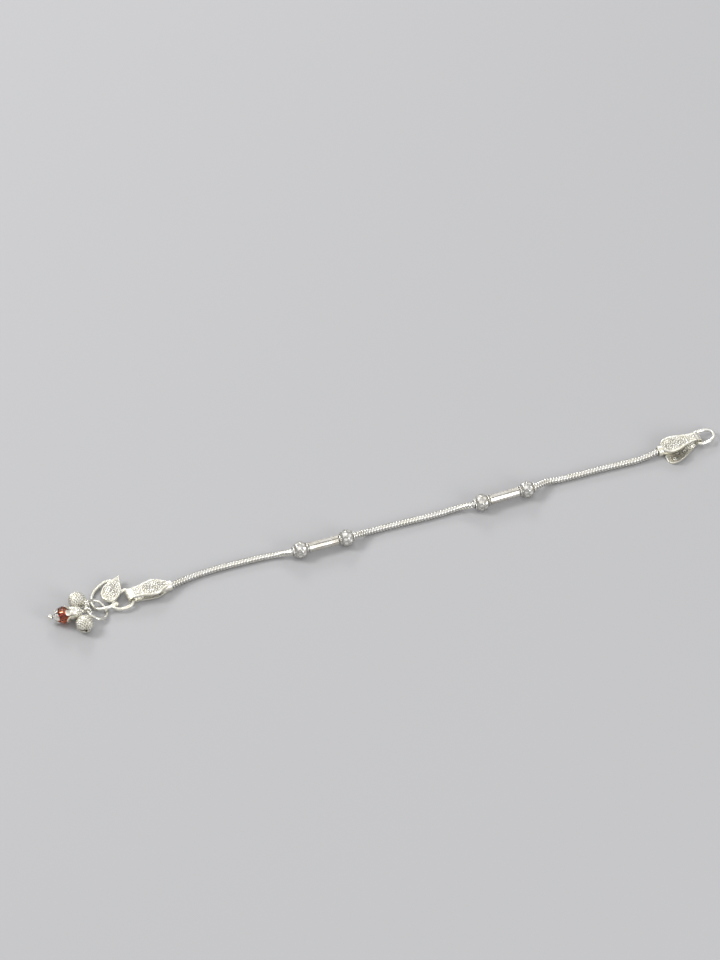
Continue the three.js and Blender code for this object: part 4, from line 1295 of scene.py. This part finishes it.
def petal_cup(reach, petals, back):
    """Flower cup whose petals follow the stone.

    Round the cup, a petal's length is its share of one less a notch, by the root of one minus
    a power of the place across the petal. Behind the table the cup narrows to its neck, and
    over the stone its skin stands off it by the clearance. The outer skin is thicker by the
    wall, and each petal is a pillow whose height is a dome of the place across it."""
    sides = petals * 24
    turn = np.arange(sides)[None] / sides * 2 * np.pi
    across = (turn * petals / np.pi + 1) % 2 - 1
    tip = 1 - PETAL_NOTCH + PETAL_NOTCH * np.sqrt(np.clip(1 - np.abs(across) ** PETAL_POWER, 0, 1))
    share = np.linspace(0, 1, 26)[:, None]
    along = -back + share * (back + reach) * tip
    neck = 1.35 + 0.25 * back
    table = stone_radius(0) + CLEARANCE
    behind = neck + (table - neck) * np.clip(1 + along / back, 0, 1)
    inner = np.where(along < 0, behind, stone_radius(np.maximum(along, 0)) + CLEARANCE)
    pillow = PILLOW * dome(across, 1.05) * smooth(0.0, 0.4, share) * (1 - 0.55 * smooth(0.6, 1, share))
    thick = PETAL_EDGE + (BEAD_CAP_WALL - PETAL_EDGE) * pillow / PILLOW
    outer = inner + thick + 0.35 * pillow * (along < 0)
    hub = np.full((1, sides), PIN_BORE)
    x = STONE_START + np.vstack((along[:1], along, along[::-1], along[:1]))
    radius = np.vstack((hub, outer, inner[::-1], hub))
    # painted shade in the creases between the petals and inside the cup; the last hub row takes the pin
    # bore's radius as its shade
    creases = np.broadcast_to(smooth(0.7, 1.0, np.abs(across)), outer.shape)
    hollow = np.vstack((np.zeros(hub.shape), creases, np.full(inner.shape, 0.7), hub))
    return surface(revolved(x, radius, turn), hollow, wrap_rows=True, wrap_columns=True)


def granulated_collar():
    """Drilled ball covered with rows of granules, which add their domes to its radius."""
    start = math.asin(PIN_BORE / COLLAR_RADIUS)
    polar = np.linspace(start, np.pi - start, 72)[:, None]
    turn = np.arange(96)[None] / 96 * 2 * np.pi
    around = turn * COLLAR_RADIUS * np.sin(np.clip(polar, 0.6, np.pi - 0.6))
    grain = granules(around, polar * COLLAR_RADIUS, *COLLAR_GRANULES) * window(0.45, 0.55, 2.59, 2.69, polar)
    radius = COLLAR_RADIUS + COLLAR_GRANULE_HEIGHT * grain
    along = COLLAR_START + COLLAR_RADIUS - radius * np.cos(polar)
    # painted shade between the granules and in the bore
    return drilled(along, radius * np.sin(polar), 1 - smooth(0.1, 0.5, grain), turn, PIN_BORE, 4)


def cut_stone():
    """Drilled stone: rings of corners set half a step apart, so that flat triangles join them."""
    corners = np.arange(STONE_SIDES)
    rings = []
    for along, radius, shift in STONE_ROWS:
        turn = (corners + shift) / STONE_SIDES * 2 * np.pi
        rings.append(revolved(STONE_START + along * STONE_LENGTH, radius * STONE_RADIUS, turn))
    rings += [revolved(x, PIN_BORE, corners / STONE_SIDES * 2 * np.pi) for x in (STONE_END, STONE_START)]
    return surface(np.stack(rings), wrap_rows=True, wrap_columns=True)


def mirrored_cup(reach, petals, back):
    """The far cup: the same cup turned end for end about the stone's middle."""
    cup = petal_cup(reach, petals, back)
    points = cup["points"] * (-1, -1, 1) + (STONE_START + STONE_END, 0, 0)
    return {**cup, "points": points}


class ANKLET_OT_stone_drop(bpy.types.Operator):
    """Head pin with the cut stone between its two flower caps"""

    bl_idname = "anklet.stone_drop"
    bl_label = "Stone drop"

    def execute(self, context):
        eye = on_jump_ring(PIN_SEAT[0])
        direction = heading(PIN_SEAT[1])
        reach = stone_radius(max(UPPER_CAP_REACH, LOWER_CAP_REACH)) + CLEARANCE + BEAD_CAP_WALL
        middle = (STONE_START + STONE_END) / 2
        direction[2] = (max(STONE_RADIUS, reach) - eye[2]) / middle

        def seat(*parts):
            return moved(parts, eye, direction)

        eye_ring = standing(torus(EYE_RADIUS, 2 * PIN_RADIUS, around=44, sides=16))
        ball_centre = TIP_START + CLEARANCE + PIN_BALL_RADIUS
        shaft = turned(((EYE_RADIUS, 0.0), (EYE_RADIUS, PIN_RADIUS), (ball_centre, PIN_RADIUS),
                        (ball_centre, 0.0)), 20, closed=False)
        turns = np.linspace(0, COIL_TURNS * 2 * np.pi, 60)
        coil = revolved(EYE_RADIUS + COIL_START + turns / (2 * np.pi) * COIL_PITCH, COIL_RADIUS, turns)
        wrap = wire(coil, COIL_WIRE, 10)
        make_piece("pin_and_ball", seat(eye_ring, shaft, wrap, ball(ball_centre, PIN_BALL_RADIUS, 36)),
                   silver("polished_silver"), ["head_pin"], sharp=50)
        upper = petal_cup(UPPER_CAP_REACH, UPPER_PETALS, UPPER_BACK)
        make_piece("flower_cap_upper", seat(upper, granulated_collar()),
                   silver("cast_silver"), ["bead_cap_upper"], sharp=60)
        make_piece("flower_cap_lower", seat(mirrored_cup(LOWER_CAP_REACH, LOWER_PETALS, LOWER_BACK)),
                   silver("polished_silver"), ["bead_cap_lower"], sharp=60)
        make_piece("cut_stone", seat(cut_stone()), red_stone(), ["stone_bead"], sharp=5)
        return {"FINISHED"}


class ANKLET_PT_panel(bpy.types.Panel):
    """Lists the settings and the builders of the anklet's pieces"""

    bl_idname = "ANKLET_PT_panel"
    bl_label = "Payal anklet"
    bl_space_type = "VIEW_3D"
    bl_region_type = "UI"
    bl_category = "Anklet"

    def draw(self, context):
        for name, group in SETTINGS.items():
            for key in group.__annotations__:
                self.layout.prop(getattr(context.scene, name), key)
        for operator in OPERATORS:
            self.layout.operator(operator.bl_idname)


SETTINGS = {
    "anklet_finish": AnkletFinish,
    "anklet_strand": AnkletStrand,
    "anklet_casting": AnkletCasting,
    "anklet_stage": AnkletStage,
}
OPERATORS = (
    ANKLET_OT_stage, ANKLET_OT_snake_chain, ANKLET_OT_stations, ANKLET_OT_end_caps,
    ANKLET_OT_leaf_hook, ANKLET_OT_rings, ANKLET_OT_bells, ANKLET_OT_stone_drop,
)


def register():
    """Registers the settings, the operators and the panel."""
    for name, group in SETTINGS.items():
        bpy.utils.register_class(group)
        setattr(bpy.types.Scene, name, bpy.props.PointerProperty(type=group))
    for item in (*OPERATORS, ANKLET_PT_panel):
        bpy.utils.register_class(item)


def unregister():
    """Removes what register added."""
    for item in (ANKLET_PT_panel, *reversed(OPERATORS)):
        bpy.utils.unregister_class(item)
    for name, group in SETTINGS.items():
        delattr(bpy.types.Scene, name)
        bpy.utils.unregister_class(group)


def main():
    register()
    for operator in OPERATORS:
        namespace, name = operator.bl_idname.split(".")
        getattr(getattr(bpy.ops, namespace), name)()


if __name__ == "__main__":
    main()
